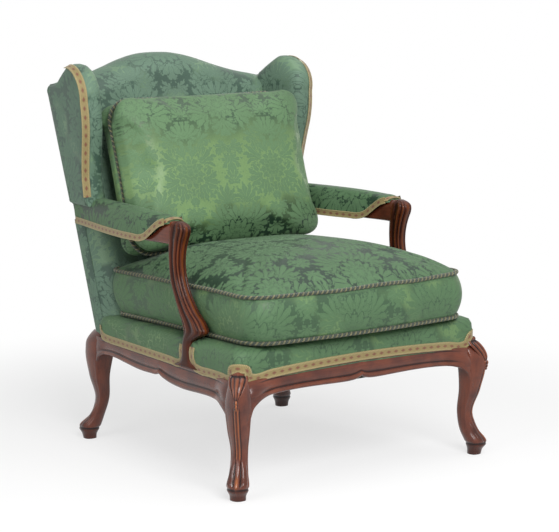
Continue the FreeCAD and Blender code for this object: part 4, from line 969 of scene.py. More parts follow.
def deck_line():
    """Outline of the deck in plan, from the left side round the front left corner."""
    rear = BACK_Y - 20.0
    half = side_half(rear) - DECK_SETBACK
    front = FRONT_Y + DECK_SETBACK
    wide = FRONT_HALF - DECK_SETBACK
    corners = np.array([(-wide, front), (wide, front), (half, rear), (-half, rear)])
    line = np.concatenate(corner_arcs(corners, [DECK_CORNER] * 4))
    return resample(closed(line), 721)[:-1]


def deck():
    """The stuffed border above the rails, rounded over to the platform under the cushion."""
    line = deck_line()[::2]
    rows = []
    heights = []
    middle = (line.max(axis=0) + line.min(axis=0)) / 2
    half = (line.max(axis=0) - line.min(axis=0)) / 2
    for distance, height in DECK_PROFILE:
        ring = inset(line, distance) if distance < 10 else middle + (line - middle) * (1 - distance / half)
        lift = (CENTRE_Y - ring[:, 1]) * math.tan(SEAT_SLOPE) * smoothstep(30, 60, height)
        rows.append(np.column_stack([ring, RAIL_TOP + height + lift]) * MM)
        heights.append(height + max(distance, 0))
    rows = np.array(rows)
    around = lengths(closed(line)) * MM
    cloth = np.stack(np.meshgrid(around, np.array(heights) * MM), axis=-1)
    top = cap(rows[-1], rows[-1][:, :2])
    return piece("seat_platform", grid(rows, cloth, closed=True), top)


def on_deck(along, height, proud=0.6):
    """Places and outward normals on the deck's border, by distance round it and height above the rails."""
    ring = closed(deck_line())
    distance = lengths(ring)

    def at(where):
        where = np.mod(where, distance[-1])
        return np.stack([np.interp(where, distance, ring[:, k]) for k in range(2)], axis=1)

    place = at(along)
    way = unit(at(along + 2.0) - place)
    out = np.stack([way[:, 1], -way[:, 0]], axis=1)
    insets, heights = zip(*DECK_PROFILE)
    bulge = np.interp(height, heights, insets)
    place = place + out * (proud - bulge)[:, None]
    points = np.column_stack([place, RAIL_TOP + height]) * MM
    return points, np.column_stack([out, np.zeros(len(out))])


def deck_braid(steps, width):
    """A braid over the deck's border through steps of distance round it and height above the rails."""
    path = smooth_path(steps, max(24, int(lengths(np.asarray(steps, float))[-1] / 2.5)))
    points, normals = on_deck(path[:, 0], path[:, 1])
    return ribbon(points, normals, width)


# Round the deck: the knee under the left corner, the arm post on the left side, and the front
KNEE = 20.4
POST_AHEAD = -(CENTRE_Y - 163.0 - (FRONT_Y + DECK_SETBACK + DECK_CORNER))
POST_BEHIND = -(CENTRE_Y - 116.0 - (FRONT_Y + DECK_SETBACK + DECK_CORNER))
FRONT_RUN = 2 * (FRONT_HALF - DECK_SETBACK - DECK_CORNER)


def seat_braids():
    """The left half of the braid above the rails: beside the post, over the knee and along the front."""
    rear = -626.0
    by_leg = [(-10, 34), (-8, 18), (0, 8), (14, 4), (30, 3), (90, 3), (220, 3)]
    up_post = [(-60, 3), (-16, 3.5), (-4, 9), (0, 22), (1, 40), (1, 52)]
    down_post = [(2, 52), (2, 36), (4, 18), (10, 7), (26, 3)]
    over_knee = [
        (-110, 3), (-62, 3), (-32, 3), (-23, 8), (-20, 20), (-15, 29), (-6, 32), (6, 32), (15, 29), (20, 20),
        (23, 11), (34, 7)]

    def moved(steps, start):
        return [(start + along, height) for along, height in steps]

    behind = moved(by_leg, rear) + moved(up_post, POST_BEHIND)
    ahead = moved(down_post, POST_AHEAD) + moved(over_knee, KNEE)
    end = 2 * KNEE + FRONT_RUN / 2
    for share in np.linspace(0.2, 1.0, 12):
        x = (1 - share) * (FRONT_RUN / 2)
        ahead.append((end - x, 7 + 13.5 * (1 - (x / (FRONT_RUN / 2)) ** 2)))
    return deck_braid(behind, 20.0), deck_braid(ahead, 21.0)


# Back
CREST = (
    (0, 985), (40, 983.5), (76, 977.5), (110, 968.5), (160, 952), (189, 943), (234, 931), (295, 919),
    (340, 909))


def crest_height(x):
    xs, zs = zip(*CREST)
    return hermite(xs, zs, np.abs(x))


BACK_ACROSS = 121
BACK_UP = 61


def back_line(foot, side=0.0, drop=0.0):
    """Outline of the back in its plane, drawn in at sides and crest, from its left foot anticlockwise."""
    edge = back_half(back_up(CREST_SIDE)) - side
    xs = np.linspace(edge, -edge, BACK_ACROSS)
    crest = np.stack([xs, back_up(crest_height(xs)) - drop], axis=1)
    wide = back_half(foot) - side
    base = np.stack([np.linspace(-wide, wide, BACK_ACROSS), np.full(BACK_ACROSS, foot)], axis=1)
    ups = np.linspace(foot, crest[0, 1], BACK_UP)
    right = np.stack([back_half(ups) - side, ups], axis=1)
    right[-1] = crest[0]
    left = right[::-1] * np.array([-1.0, 1.0])
    return np.concatenate([base[:-1], right[:-1], crest[:-1], left[:-1]])


def fill(ring):
    """A grid inside a ring of points laid out as the outline of the back."""
    n = BACK_ACROSS - 1
    m = BACK_UP - 1
    ring = closed(ring)
    base = ring[:n + 1]
    right = ring[n:n + m + 1]
    crest = ring[n + m:2 * n + m + 1][::-1]
    left = ring[2 * n + m:][::-1]
    return four_sided(base, right, crest, left)[0]


def back_cover(name, rings, forwards, flats):
    """A cover from rings round the back, each with its lie as flat cloth, and a face inside the last."""
    rows = []
    for ring, forward in zip(rings, forwards):
        rows.append(back_place(ring[:, 0], np.full(len(ring), float(forward)), ring[:, 1]))
    rows = np.array(rows)
    cloth = np.array([closed(flat * MM) for flat in flats])
    face = grid(fill(rows[-1]), fill(cloth[-1][:-1]))
    return piece(name, grid(rows, cloth, closed=True), face)


def inside_back():
    """The stuffed back: rolled over the crest and round its sides to the outside back."""
    profile = [
        (3, 2), (0, 8), (-1.5, 20), (-2, 34), (-1, 50), (3, 64), (10, 77), (20, 86.5), (32, 92), (44, 94.6)]
    rings = [back_line(30.0, d, d + forward * math.tan(RAKE)) for d, forward in profile]
    wraps = lengths(np.array(profile, float)[::-1])[::-1]
    outward = rings[0] - rings[-1]
    outward /= np.maximum(np.linalg.norm(outward, axis=1), 1e-6)[:, None]
    flats = [rings[-1] + outward * wrap for wrap in wraps]
    return back_cover("inside_back", rings, [forward for _, forward in profile], flats)


def outside_back():
    """The cover stretched over the rear of the back."""
    rings = [back_line(4.0, distance, distance) for distance in (3.0, 2.0, 6.0, 14.0)]
    flats = [ring * np.array([-1.0, 1.0]) for ring in rings]
    return back_cover("outside_back_cover", rings, (3.0, 0.6, -0.8, -1.4), flats)


def side_panel():
    """The covered side of the back below the left arm."""
    ups = np.linspace(1.0, back_up(ARM_UNDERSIDE) + 6.0, 24)
    forwards = np.linspace(0.3, 44.0, 9)
    w, up = np.meshgrid(forwards, ups)
    bulge = 2.0 * np.sin(np.pi * (w - 0.3) / 43.7)
    outer = back_place(-(back_half(up) + 2.4 + bulge), w, up)
    cloth = np.stack([-w, up], axis=-1) * MM
    inner = back_place(-(back_half(up) + 0.3), w, up)
    return grid(outer, cloth), grid(inner, cloth)


# Wings
def wing_outline():
    """Counter-clockwise side outline of a wing about its lower rear corner: ahead and up."""
    height = 968.0 - ARM_TOP - 2.0

    def at(share, ahead):
        return (-share * height * math.tan(RAKE) + ahead, share * height)

    steps = [
        (at(0, 2),), (at(0.753, 2),), (at(0.812, 7), at(0.831, 22)), (at(0.843, 51), at(0.873, 80)),
        (at(0.93, 113), at(1.0, 159)), (at(0.952, 218), at(0.735, 223)), (at(0.608, 212), at(0.479, 194)),
        (at(0.313, 165), at(0.163, 141)), (at(0, 126),), (at(-0.07, 116),), (at(-0.07, 2),), (at(0, 2),)]
    line = resample(outline(steps), 301)[:-1]
    turn = np.sum(line[:, 0] * np.roll(line[:, 1], -1) - np.roll(line[:, 0], -1) * line[:, 1])
    return line if turn > 0 else line[::-1]


def wing_place(x, ahead, up):
    """Places on the left wing, flared forwards and leaning outwards."""
    foot = ARM_TOP + 2.0
    flare = math.radians(-6.5)
    lean = math.radians(-3.8)
    x1 = x * math.cos(lean) + up * math.sin(lean)
    z1 = up * math.cos(lean) - x * math.sin(lean)
    y1 = -ahead
    x2 = x1 * math.cos(flare) - y1 * math.sin(flare)
    y2 = x1 * math.sin(flare) + y1 * math.cos(flare)
    corner = -back_half(back_up(foot)) - 10.5
    return np.stack([x2 + corner, y2 + rear_line(foot), z1 + foot], axis=-1) * MM


def wing():
    """A wing from its outside cover, round its edge to the stuffed inside."""
    line = wing_outline()
    profile = [
        (60, -1.0), (34, -1.5), (16, -1.2), (6, 0.0), (1.5, 3.0), (-1.5, 9), (-3, 20), (-2.5, 32), (1, 42),
        (8, 49), (20, 53), (40, 55), (60, 55), (85, 55)]
    outside_rows = 6
    rows = []
    cloth = []
    for k, (distance, x) in enumerate(profile):
        ring = inset(line, distance) if distance < 30 else shrink_line(line, distance)
        behind = smoothstep(36.0, 78.0, ring[:, 0] + ring[:, 1] * math.tan(RAKE))
        depth = 9 + (x - 9) * behind if x > 9 else np.full(len(ring), float(x))
        rows.append(wing_place(depth, ring[:, 0], ring[:, 1]))
        flat = ring * MM
        if k >= outside_rows:
            flat = flat + np.array([x * MM, 0.0])
        cloth.append(closed(flat))
    rows = np.array(rows)
    ends = [cap(rows[k], cloth[k][:-1]) for k in (0, -1)]
    return grid(rows, np.array(cloth), closed=True), *ends


def shrink_line(line, distance):
    """A closed line drawn in towards its middle."""
    middle = line.mean(axis=0)
    away = line - middle
    far = np.linalg.norm(away, axis=1)[:, None]
    return middle + away * np.maximum(1 - distance / far, 0.15)


# Arm pads
ARM_TIP = -142.0
ARM_Y = [-148, -141, -132, -121, -106, -88, -68, -44, -10, 350]
ARM_LOW = [614, 613, 610.5, 606, 597, 584, 571, 564, 563, 563]


def arm_middle(ys):
    """Distance of the arm's middle from the chair's middle: the arms spread towards the front."""
    return hermite([-200, -60, 100, 350], [ARM_CENTRE, ARM_CENTRE, ARM_CENTRE - 18, ARM_CENTRE - 54], ys)


def arm_lines(ys):
    """Lower edge, top and half width of the arm pad along its depth."""
    low = hermite(ARM_Y, ARM_LOW, ys)
    high = hermite([-148, -143, -133, -95, -35, 350], [618, 624, 628, 631, 633, 633], ys)
    half = hermite([-148, -143, -130, -105, 350], [19, 24, 28, 31, 31], ys)
    return low, high, half


def arm_pad():
    """A stuffed dome along the arm, its lower edge rising over the hand at the front."""
    ys = np.concatenate([np.linspace(-148, -60, 30), np.linspace(-56, 350, 60)])
    low, high, half = arm_lines(ys)
    rows = []
    cloth = []
    for share in np.linspace(0, 1, 23):
        turn = math.pi * (1 - share)
        cosine = math.cos(turn)
        across = half * math.copysign(abs(cosine) ** 0.62, cosine)
        z = low + (high - low) * math.sin(turn) ** 0.72
        raked = ys + (z - 598) * math.tan(RAKE) * smoothstep(240, 350, ys)
        rows.append(np.column_stack([across - arm_middle(ys), raked, z]) * MM)
        cloth.append(np.stack([np.full(len(ys), (share - 0.5) * 0.15), ys * MM], axis=1))
    rows = np.array(rows)
    front = cap(rows[:, 0], np.array(cloth)[:, 0])
    return grid(rows, np.array(cloth)), front


def arm_braids():
    """Braid along both lower edges of the left arm pad and over its front end."""
    ys = np.linspace(337, -141, 120)
    low, high, half = arm_lines(ys)
    outer = np.column_stack([-arm_middle(ys) - half - 0.4, ys, low + 6.5]) * MM
    inner = np.column_stack([-arm_middle(ys) + half + 0.4, ys, low + 6.5]) * MM
    turns = np.linspace(math.pi, 0, 25)
    low, high, half = (float(v[0]) for v in arm_lines(np.array([ARM_TIP])))
    across = np.cos(turns) * (half + 0.6) - ARM_CENTRE
    up = low + 4 + (high - low - 3.4) * np.sin(turns)
    front = np.column_stack([across, np.full(len(turns), ARM_TIP), up]) * MM
    lift = np.column_stack([np.cos(turns), np.full(len(turns), -0.35), np.sin(turns)])
    return (
        ribbon(outer, (-1.0, 0.0, 0.12), 17.0), ribbon(inner[::-1], (1.0, 0.0, 0.12), 17.0),
        ribbon(front, unit(lift), 11.0))


# Ribbons of braid
RIBBON_SHAPE = [
    (-0.5, 0.0), (-0.5, 0.7), (-0.42, 1.0), (-0.34, 0.75), (0.0, 0.85), (0.34, 0.75), (0.42, 1.0), (0.5, 0.7),
    (0.5, 0.0)]
RIBBON_THICKNESS = 1.8


def ribbon(path, normal, width):
    """A flat braid along a path, lying on a surface with given normals."""
    path = np.asarray(path, float)
    normal = np.broadcast_to(np.asarray(normal, float), path.shape)
    way = unit(np.gradient(path, axis=0))
    side = unit(np.cross(normal, way))
    out = np.cross(way, side)
    along = lengths(path)
    rows = []
    cloth = []
    for across, lift in RIBBON_SHAPE:
        rows.append(path + side * (across * width * MM) + out * (lift * RIBBON_THICKNESS * MM))
        cloth.append(np.stack([along, np.full(len(along), across * width * MM)], axis=1))
    return grid(np.array(rows), np.array(cloth))


def smooth_path(points, count):
    """A rounded path through a few points."""
    points = np.asarray(points, float)
    knots = lengths(points)
    at = np.linspace(0, knots[-1], count)
    return np.stack([hermite(knots, points[:, k], at) for k in range(points.shape[1])], axis=1)


def wing_braid():
    line = wing_outline()
    edge = inset(line, 4.0)
    ahead = line[:, 0] + line[:, 1] * math.tan(RAKE)
    peak = line[:, 1].max()
    front = (ahead > 116) & (line[:, 1] > 1.0) & ((ahead > 163) | (line[:, 1] < 0.8 * peak))
    order = np.where(front)[0]
    jump = np.where(np.diff(order) > 1)[0]
    if len(jump):
        order = np.concatenate([order[jump[0] + 1:], order[:jump[0] + 1]])
    outer = wing_place(np.full(len(edge), -1.0), edge[:, 0], edge[:, 1])[order]
    inner = wing_place(np.full(len(line), 9.0), line[:, 0], line[:, 1])[order]
    rim = wing_place(np.full(len(line), 0.0), *inset(line, -1.5).T)[order]
    path = (outer + rim) / 2
    ways = np.gradient(path, axis=0)
    normals = unit(np.cross(inner - outer, ways))
    centre = wing_place(np.array([20.0]), np.array([100.0]), np.array([160.0]))[0]
    if np.sum((path - centre) * normals) < 0:
        normals = -normals
    return ribbon(path, normals, 20.0)


# Carved wood
LEG_HEIGHTS = [0.0, 12.0, 25.0, 62.0, 104.0, 168.0, 237.0, 262.0, 277.0, 288.0]
# Reach outwards and inwards along the diagonal, and half width, at each height
FRONT_LEG = [
    (17, 18, 19), (20, 18, 20), (29, 22, 26), (9, 38, 22.5), (-5, 45, 19.5), (14, 41, 26.5), (26, 46, 30),
    (20, 50, 26), (7, 52, 22), (-10, 50, 18)]
REAR_LEG = [
    (17, 18, 18), (20, 19, 19.5), (27, 26, 25), (-2, 40, 22), (-16, 53, 21), (-1, 56, 27), (8, 68, 38),
    (4, 70, 38), (-6, 72, 38), (-16, 72, 38)]
DIAGONAL = math.sqrt(0.5)


def leg(stations, foot, side_x, side_y, banded):
    """A curved leg with a toe of two scrolls and a block foot, and perhaps a grooved band down its corner."""
    z = np.concatenate([np.linspace(0, 30, 13), np.linspace(32, 288, 110)])
    out, inner, half = (hermite(LEG_HEIGHTS, [s[k] for s in stations], z) for k in range(3))
    turn = np.linspace(-1, 1, 150, endpoint=False)
    phi = math.pi * np.sign(turn) * np.abs(turn) ** 1.4
    reach = (out + inner)[:, None] / 2
    wide = half[:, None]
    power = hermite([0, 40, 110, 190, 288], [1.7, 1.6, 1.4, 1.28, 1.28], z)[:, None]
    radius = ((np.abs(np.cos(phi)) / reach) ** power + (np.abs(np.sin(phi)) / wide) ** power) ** (-1 / power)
    tip = np.abs(phi)[None, :]
    off = np.where(tip < 1.2, np.abs(radius * np.sin(phi)), 99.0)
    band = plateau(z, (86, 100), (214, 226))[:, None] * banded
    groove = (hump(off, 7.2, 1.4) + 0.6 * hump(off, 0.0, 1.2)) * band
    # Painted shading: a painted highlight on the ribs beside the grooves, and painted shade in the grooves
    painted_shading = hump(off, 3.8, 2.0) * band * 0.6 - groove
    edge = hump(tip, 1.5, 0.12) * plateau(z, (70, 110), (200, 225))[:, None]
    lobe = hump(tip, 0.80, 0.34, 4) * plateau(z, (30, 44), (62, 94))[:, None]
    split = hump(tip, 0.36, 0.10) * plateau(z, (30, 40), (84, 98))[:, None]
    leaf = hump(tip, 0.0, 0.16) * hump(z, 44, 18.0)[:, None]
    neck = hump(z, 29, 2.6)[:, None]
    radius = radius - groove * 1.3 + edge * 1.3 + lobe * 4.6 - split * 3.0 + leaf * 2.8 - neck * 2.4
    # More painted shade in the split and at the neck, and a painted highlight on the leaf; the scrolls and
    # the block foot below the neck are darker too
    painted_shading = painted_shading - 0.5 * lobe - split - neck + 0.7 * leaf - 0.45 * (1 - smoothstep(24, 30, z))[:, None]
    middle = ((out - inner) / 2)[:, None]
    along = middle + radius * np.cos(phi)
    across = radius * np.sin(phi)
    x = foot[0] + DIAGONAL * (side_x * along - side_y * across)
    y = foot[1] + DIAGONAL * (side_y * along + side_x * across)
    points = np.stack([x, y, z[:, None] + 0 * x], axis=-1) * MM
    return tube(points, phi * 0.02, painted_shading)


def shell(foot, side_x):
    """The fluted cartouche carved on a front knee, with a crossed husk under it."""
    outward = DIAGONAL * np.array([side_x, -1.0])
    across = DIAGONAL * np.array([1.0, side_x])
    t = np.linspace(0, 1, 41)[:, None]
    a = np.linspace(-1, 1, 81)[None, :]
    off = np.abs(a)
    width = hermite([0, 0.12, 0.32, 0.62, 0.84, 0.95, 1.0], [4, 9, 15, 22.5, 22.5, 17, 10], t)
    height = 238.0 + t * (63.0 - 5.0 * a * a)
    rim = hump(off, 0.88, 0.10) + hump(t, 0.95, 0.05)
    ditch = hump(off, 0.70, 0.08) * (t < 0.9) + hump(t, 0.84, 0.04) * (off < 0.7)
    fluted = (off < 0.64) * (t < 0.84)
    flutes = fluted * np.abs(np.cos(a * math.pi * 2.5 / 0.64 / 2)) * smoothstep(0.0, 0.2, t)
    knee = hermite([237, 262, 280, 290, 304], [26, 21, 9, -1, -10], height)
    dome = 6.0 * (1 - a * a) ** 0.5
    lie = knee - 0.74 * off * width + dome + 2.2 * flutes + 1.6 * rim - 2.0 * ditch - 2.5
    fan = a * width
    x = foot[0] + outward[0] * lie + across[0] * fan
    y = foot[1] + outward[1] * lie + across[1] * fan
    points = np.stack([x, y, height + 0 * x], axis=-1) * MM
    # Painted shading: a painted highlight on the flutes and the rim, and painted shade in the ditches and in
    # the hollows between the flutes
    hollow = fluted * (1 - flutes) ** 2
    painted_shading = 0.4 * flutes + 0.3 * np.minimum(rim, 1.0) - 1.3 * ditch - 1.2 * hollow
    cloth = np.stack([fan * MM + 0 * t, painted_shading], axis=-1)
    surfaces = [grid(points, cloth)]
    for z, size in ((235, 5.6), (227, 4.6), (220, 3.6)):
        ahead = hermite([168, 237, 262], [14, 27, 23], np.array(float(z)))
        surfaces.append(bead(np.array([*(np.array(foot) + outward * (ahead - 0.5)), z]), size))
    return surfaces


def bead(centre, size):
    """A small carved husk."""
    u = np.linspace(0, 2 * math.pi, 14, endpoint=False)
    v = np.linspace(0.12, math.pi - 0.12, 9)
    ring, turn = np.meshgrid(u, v)
    lobes = 1 + 0.12 * np.cos(3 * ring)
    x = size * np.sin(turn) * np.cos(ring) * lobes
    y = size * np.sin(turn) * np.sin(ring) * lobes
    z = 1.25 * size * np.cos(turn)
    points = (np.stack([x, y, z], axis=-1) + centre) * MM
    # Painted shading: a painted highlight on each lobe of the husk, and painted shade between the lobes
    painted_shading = np.concatenate([0.9 * np.cos(3 * ring), np.full((len(v), 1), 0.9)], axis=1)
    cloth = np.stack([0 * painted_shading, painted_shading], axis=-1)
    return grid(points, cloth, closed=True)


# Height and depth along the front and the rear of the left arm post
POST_FRONT = [
    (276, -196), (281, -180), (288, -168), (298, -162), (314, -159), (330, -158), (340, -162), (352, -182),
    (363, -202), (368, -204), (377, -199), (388, -190), (406, -167), (442, -135), (476, -117), (506, -109),
    (537, -109), (560, -114), (577, -120), (592, -127), (604, -129), (613, -124), (619, -114), (622, -103)]
POST_REAR = [
    (276, -84), (281, -100), (288, -111), (298, -117), (314, -120), (330, -122), (347, -125), (365, -126),
    (380, -121), (400, -110), (443, -89), (473, -76), (503, -71), (534, -69), (560, -70), (577, -71),
    (600, -74), (613, -80), (619, -87), (622, -94)]


def post():
    """The left arm support: a moulded S-curve that springs from the rail and rolls over at the hand."""
    z = np.concatenate([np.linspace(276, 300, 10), np.linspace(302, 600, 100), np.linspace(601, 622, 16)])
    front = hermite(*zip(*POST_FRONT), z) + CENTRE_Y
    rear = hermite(*zip(*POST_REAR), z) + CENTRE_Y
    half = hermite([276, 290, 330, 560, 600, 616, 622], [17, 16.5, 16.5, 17, 18.5, 15, 8], z)
    middle_x = -hermite([276, 300, 420, 622], [345.0, 345.0, 344.5, 346.0], z)
    phi = np.linspace(0, 2 * math.pi, 120, endpoint=False)
    c, s = superellipse(phi, 2.0 / 3.0)
    reeding = np.abs(np.cos(5 * phi))
    ridge = reeding ** 0.6 * 3.4 - 2.0
    fade = (smoothstep(335, 380, z) * (1 - 0.5 * smoothstep(606, 622, z)))[:, None]
    depth = ((rear - front) / 2)[:, None] + ridge * fade
    wide = half[:, None] + ridge * fade
    x = middle_x[:, None] + wide * s
    y = ((front + rear) / 2)[:, None] + depth * c
    points = np.stack([x, y, z[:, None] + 0 * x], axis=-1) * MM
    # Painted shading: a painted highlight along each reed, and painted shade in the grooves between them
    painted_shading = (smoothstep(0.80, 1.0, reeding) * 0.34 - smoothstep(0.55, 0.1, reeding) * 0.8) * fade
    return tube(points, 0.0, painted_shading)


def arm_wood():
    """The left arm rail, with the plain cheek that shows between the pad and the rolled hand."""
    ys = np.concatenate([np.linspace(-172, -60, 30), np.linspace(-55, 346, 30)])
    top = np.maximum(hermite(ARM_Y, ARM_LOW, ys) + 5.0, 578.0)
    top = np.where(ys < -143, hermite([-172, -158, -143], [612, 619, 620], ys), top)
    low = hermite([-172, -150, -120, 0, 346], [566, 563.5, 563.2, 563.2, 563.2], ys)
    half = hermite([-172, -140, -100, -60, 346], [14, 19, 22, 24, 24], ys)
    phi = np.linspace(0, 2 * math.pi, 48, endpoint=False)
    c, s = superellipse(phi, 0.45)
    x = half[:, None] * c - arm_middle(ys)[:, None]
    z = ((top + low) / 2)[:, None] + ((top - low) / 2)[:, None] * s
    points = np.stack([x, ys[:, None] + 0 * x, z], axis=-1) * MM
    return tube(points, 0.0, np.zeros(x.shape))


# Share of the rail's height from its top, how far it stands out, and its painted shading: painted shade in
# the grooves, a painted highlight on the beads
RAIL_FACE = [
    (0.00, -22.0, -1.0), (0.00, -1.0, -1.0), (0.03, 0.6, -0.4), (0.08, 1.4, 0.2), (0.13, 0.6, -0.2),
    (0.155, -1.6, -1.0), (0.185, -0.8, -0.6), (0.22, 0.2, 0.0), (0.34, 1.6, 0.0), (0.46, 2.0, 0.0),
    (0.58, 0.8, 0.0), (0.65, -1.0, -0.3), (0.70, -1.6, -1.0), (0.735, 0.8, -0.5), (0.77, 2.8, 0.1),
    (0.83, 4.0, 0.3), (0.92, 3.6, 0.0), (0.98, 1.2, -0.3), (1.00, -2.0, -0.7), (1.00, -28.0, -0.7)]


KNEE_FLARE = 15.5
KNEE_SINK = 30.0
MOULDING_LOSS = 0.85


def rail(line, top, low, outward, flare, fade):
    """A moulded rail along a line in plan, which flares and loses its mouldings where it meets a leg."""
    rows = []
    cloth = []
    along = lengths(line)
    for share, proud, painted_shading in RAIL_FACE:
        z = top + (low - top) * share
        spread = np.minimum(flare, flare * (0.3 + 0.7 * smoothstep(0.0, 0.5, share)))
        place = line + outward * (proud * fade + spread)[:, None]
        rows.append(np.column_stack([place, z]) * MM)
        cloth.append(np.stack([along * MM, painted_shading * fade], axis=1))
    return grid(np.array(rows), np.array(cloth))


def front_rail():
    x = np.linspace(-362, 362, 201)
    line = np.column_stack([x, np.full(len(x), FRONT_Y + 1.0)])
    away = np.abs(x)
    notch = np.exp(-away / 14.0) * 11.0
    drop_at = [0, 262, 284, 300, 312, 322, 330, 336, 341, 348]
    drop = hermite(drop_at, [0, 0, 2, 5, 9, 14, 20, 28, 42, 62], away)
    low = 237.0 + notch - drop
    top = 276.0 + 14.0 * (1 - (x / 340) ** 2)
    flare = KNEE_FLARE * smoothstep(262, 330, away) - KNEE_SINK * smoothstep(350, 362, away)
    fade = 1 - MOULDING_LOSS * smoothstep(280, 328, away)
    return rail(line, top, low, np.array([0.0, -1.0]), flare, fade)


# Depth and height along the lower edge of the left side rail, ahead of its cusp and behind it
SIDE_EDGE = [
    (-366, 150), (-350, 166), (-343, 180), (-337, 192), (-328, 202), (-304, 213), (-275, 218), (-240, 221),
    (-199, 220), (-105, 217), (-33, 224), (-12, 229), (1, 234)]
SIDE_EDGE_REAR = [
    (2, 234), (14, 230), (41, 228), (92, 227), (169, 232), (221, 236), (270, 235), (296, 230), (312, 220),
    (324, 206), (340, 186)]


def side_rail():
    """The left side rail, two lobes meeting in a cusp along its lower edge."""
    fit_y = np.concatenate([np.linspace(-360, 1, 90), np.linspace(2, 336, 84)])
    low = np.where(fit_y < 1.5, hermite(*zip(*SIDE_EDGE), fit_y), hermite(*zip(*SIDE_EDGE_REAR), fit_y))
    y = fit_y + CENTRE_Y
    slope = (FRONT_HALF - REAR_HALF) / FOOT_DEPTH
    outward = np.array([-1.0, -slope]) / math.hypot(1.0, slope)
    line = np.column_stack([-side_half(y) + 1.0, y])
    flare = KNEE_FLARE * smoothstep(-262, -326, fit_y) - KNEE_SINK * smoothstep(-346, -359, fit_y)
    flare += 4.0 * smoothstep(270, 310, fit_y) - 14.0 * smoothstep(318, 336, fit_y)
    fade = 1 - MOULDING_LOSS * (smoothstep(-280, -326, fit_y) + smoothstep(276, 314, fit_y))
    return rail(line, np.full(len(y), RAIL_TOP), low, outward, flare, fade)


ARM_DOWEL_REAR = 300.0
ARM_DOWEL_HEIGHTS = (570.0, 592.0)
ARM_DOWEL_INWARD = 26.0


def dowels():
    """The frame's dowels, those between arm and stile further in, as the rear ends of the arms are."""
    made = add_object("dowels", frame["nodes"]["frame_dowels"].data.copy())
    made.data.materials.clear()
    points = places(made)
    low, high = ARM_DOWEL_HEIGHTS
    arm_ones = (points[:, 1] > ARM_DOWEL_REAR * MM) & (points[:, 2] > low * MM) & (points[:, 2] < high * MM)
    points[arm_ones, 0] -= np.sign(points[arm_ones, 0]) * ARM_DOWEL_INWARD * MM
    set_places(made, points)
    return made


# Put the chair together
PAIR_NODES = {"braid_seat": {"left": ["braid_seat_left", "braid_seat_front"], "right": ["braid_seat_right"]}}


def both_sides(name, surfaces, materials, nodes):
    """A left piece and its mirrored right twin."""
    for side, twin in (("left", surfaces), ("right", [flipped(s) for s in surfaces])):
        made = piece(f"{name}_{side}", *twin)
        stands_for = []
        for node in nodes:
            stands_for += PAIR_NODES[node][side] if node in PAIR_NODES else [f"{node}_{side}"]
        dress(made, materials, FRAME_BODY, stands_for)


seat_pad = seat_cushion()
pillow_pad = back_cushion()
rest_on(seat_pad, pillow_pad)
refine(seat_pad)
refine(pillow_pad)
dress(seat_pad, [DAMASK, UPRIGHT_DAMASK], SEAT_BODY,
      ["seat_cushion_cover", "seat_cushion_core"])
dress(pillow_pad, [PILLOW_DAMASK], PILLOW_BODY,
      ["back_cushion_cover", "back_cushion_core"])
seat_up = (0.0, math.sin(SEAT_SLOPE), math.cos(SEAT_SLOPE))
for cord_name, cord_height in (("seat_cushion_cord_top", SEAM), ("seat_cushion_cord_bottom", 0.0)):
    cord = rope(cord_name.replace("cushion_cord", "rope"), seat_cord(cord_height), seat_up)
    dress(cord, [CORD_GREEN, CORD_GOLD], SEAT_BODY, [cord_name])
pillow_out = (0.0, -math.cos(RAKE), math.sin(RAKE))
cord = rope("back_rope", pillow_cord(), pillow_out)
dress(cord, [CORD_GREEN, CORD_GOLD], PILLOW_BODY, ["back_cushion_cord"])

dress(deck(), [UPRIGHT_DAMASK], FRAME_BODY, ["seat_deck"])
dress(inside_back(), [BACK_DAMASK], FRAME_BODY, ["back_pad"])
dress(dowels(), [FRAME_WOOD], FRAME_BODY, ["frame_dowels"])
dress(outside_back(), [BACK_DAMASK], FRAME_BODY, ["outside_back"])
both_sides("back_side", side_panel(), [BACK_DAMASK], ["side_panel"])
both_sides("wing", wing(), [BACK_DAMASK], ["wing_cover", "wing_pad", "wing_frame"])
both_sides("arm_cushion", arm_pad(), [DAMASK], ["arm_pad"])

both_sides("wing_gimp", [wing_braid()], [BRAID], ["braid_wing"])
both_sides("arm_gimp", arm_braids(), [BRAID], ["braid_arm"])
both_sides("seat_gimp", seat_braids(), [BRAID], ["braid_seat"])

front_foot = (-FRONT_HALF, FRONT_Y)
both_sides("front_leg", [*leg(FRONT_LEG, front_foot, -1, -1, 1.0), *shell(front_foot, -1)],
           [WOOD], ["front_leg"])
both_sides("back_leg", leg(REAR_LEG, (-REAR_HALF, REAR_Y), -1, 1, 0.0), [WOOD], ["rear_leg"])
both_sides("arm_post", post(), [POST_WOOD], ["arm_support"])
both_sides("arm_cheek", arm_wood(), [RAIL_WOOD], ["arm_rail"])
both_sides("side_rail", [side_rail()], [RAIL_WOOD], ["side_seat_rail"])
dress(piece("front_rail", front_rail()), [RAIL_WOOD], FRAME_BODY, ["front_seat_rail"])

CAD_FINISH = {
    "rear_seat_rail": RAIL_WOOD, "back_top_rail": FRAME_WOOD, "back_bottom_rail": FRAME_WOOD,
    "corner_blocks": FRAME_WOOD, "corner_block_screws": STEEL, "seat_springs": STEEL, "seat_webbing": WEBBING,
    "back_webbing": WEBBING, "seat_canvas": CANVAS, "back_canvas": CANVAS, "dust_cover": DUST,
}
for node_name, finish in CAD_FINISH.items():
    node = frame["nodes"][node_name]
    node.data.materials.clear()
    node.data.materials.append(finish)


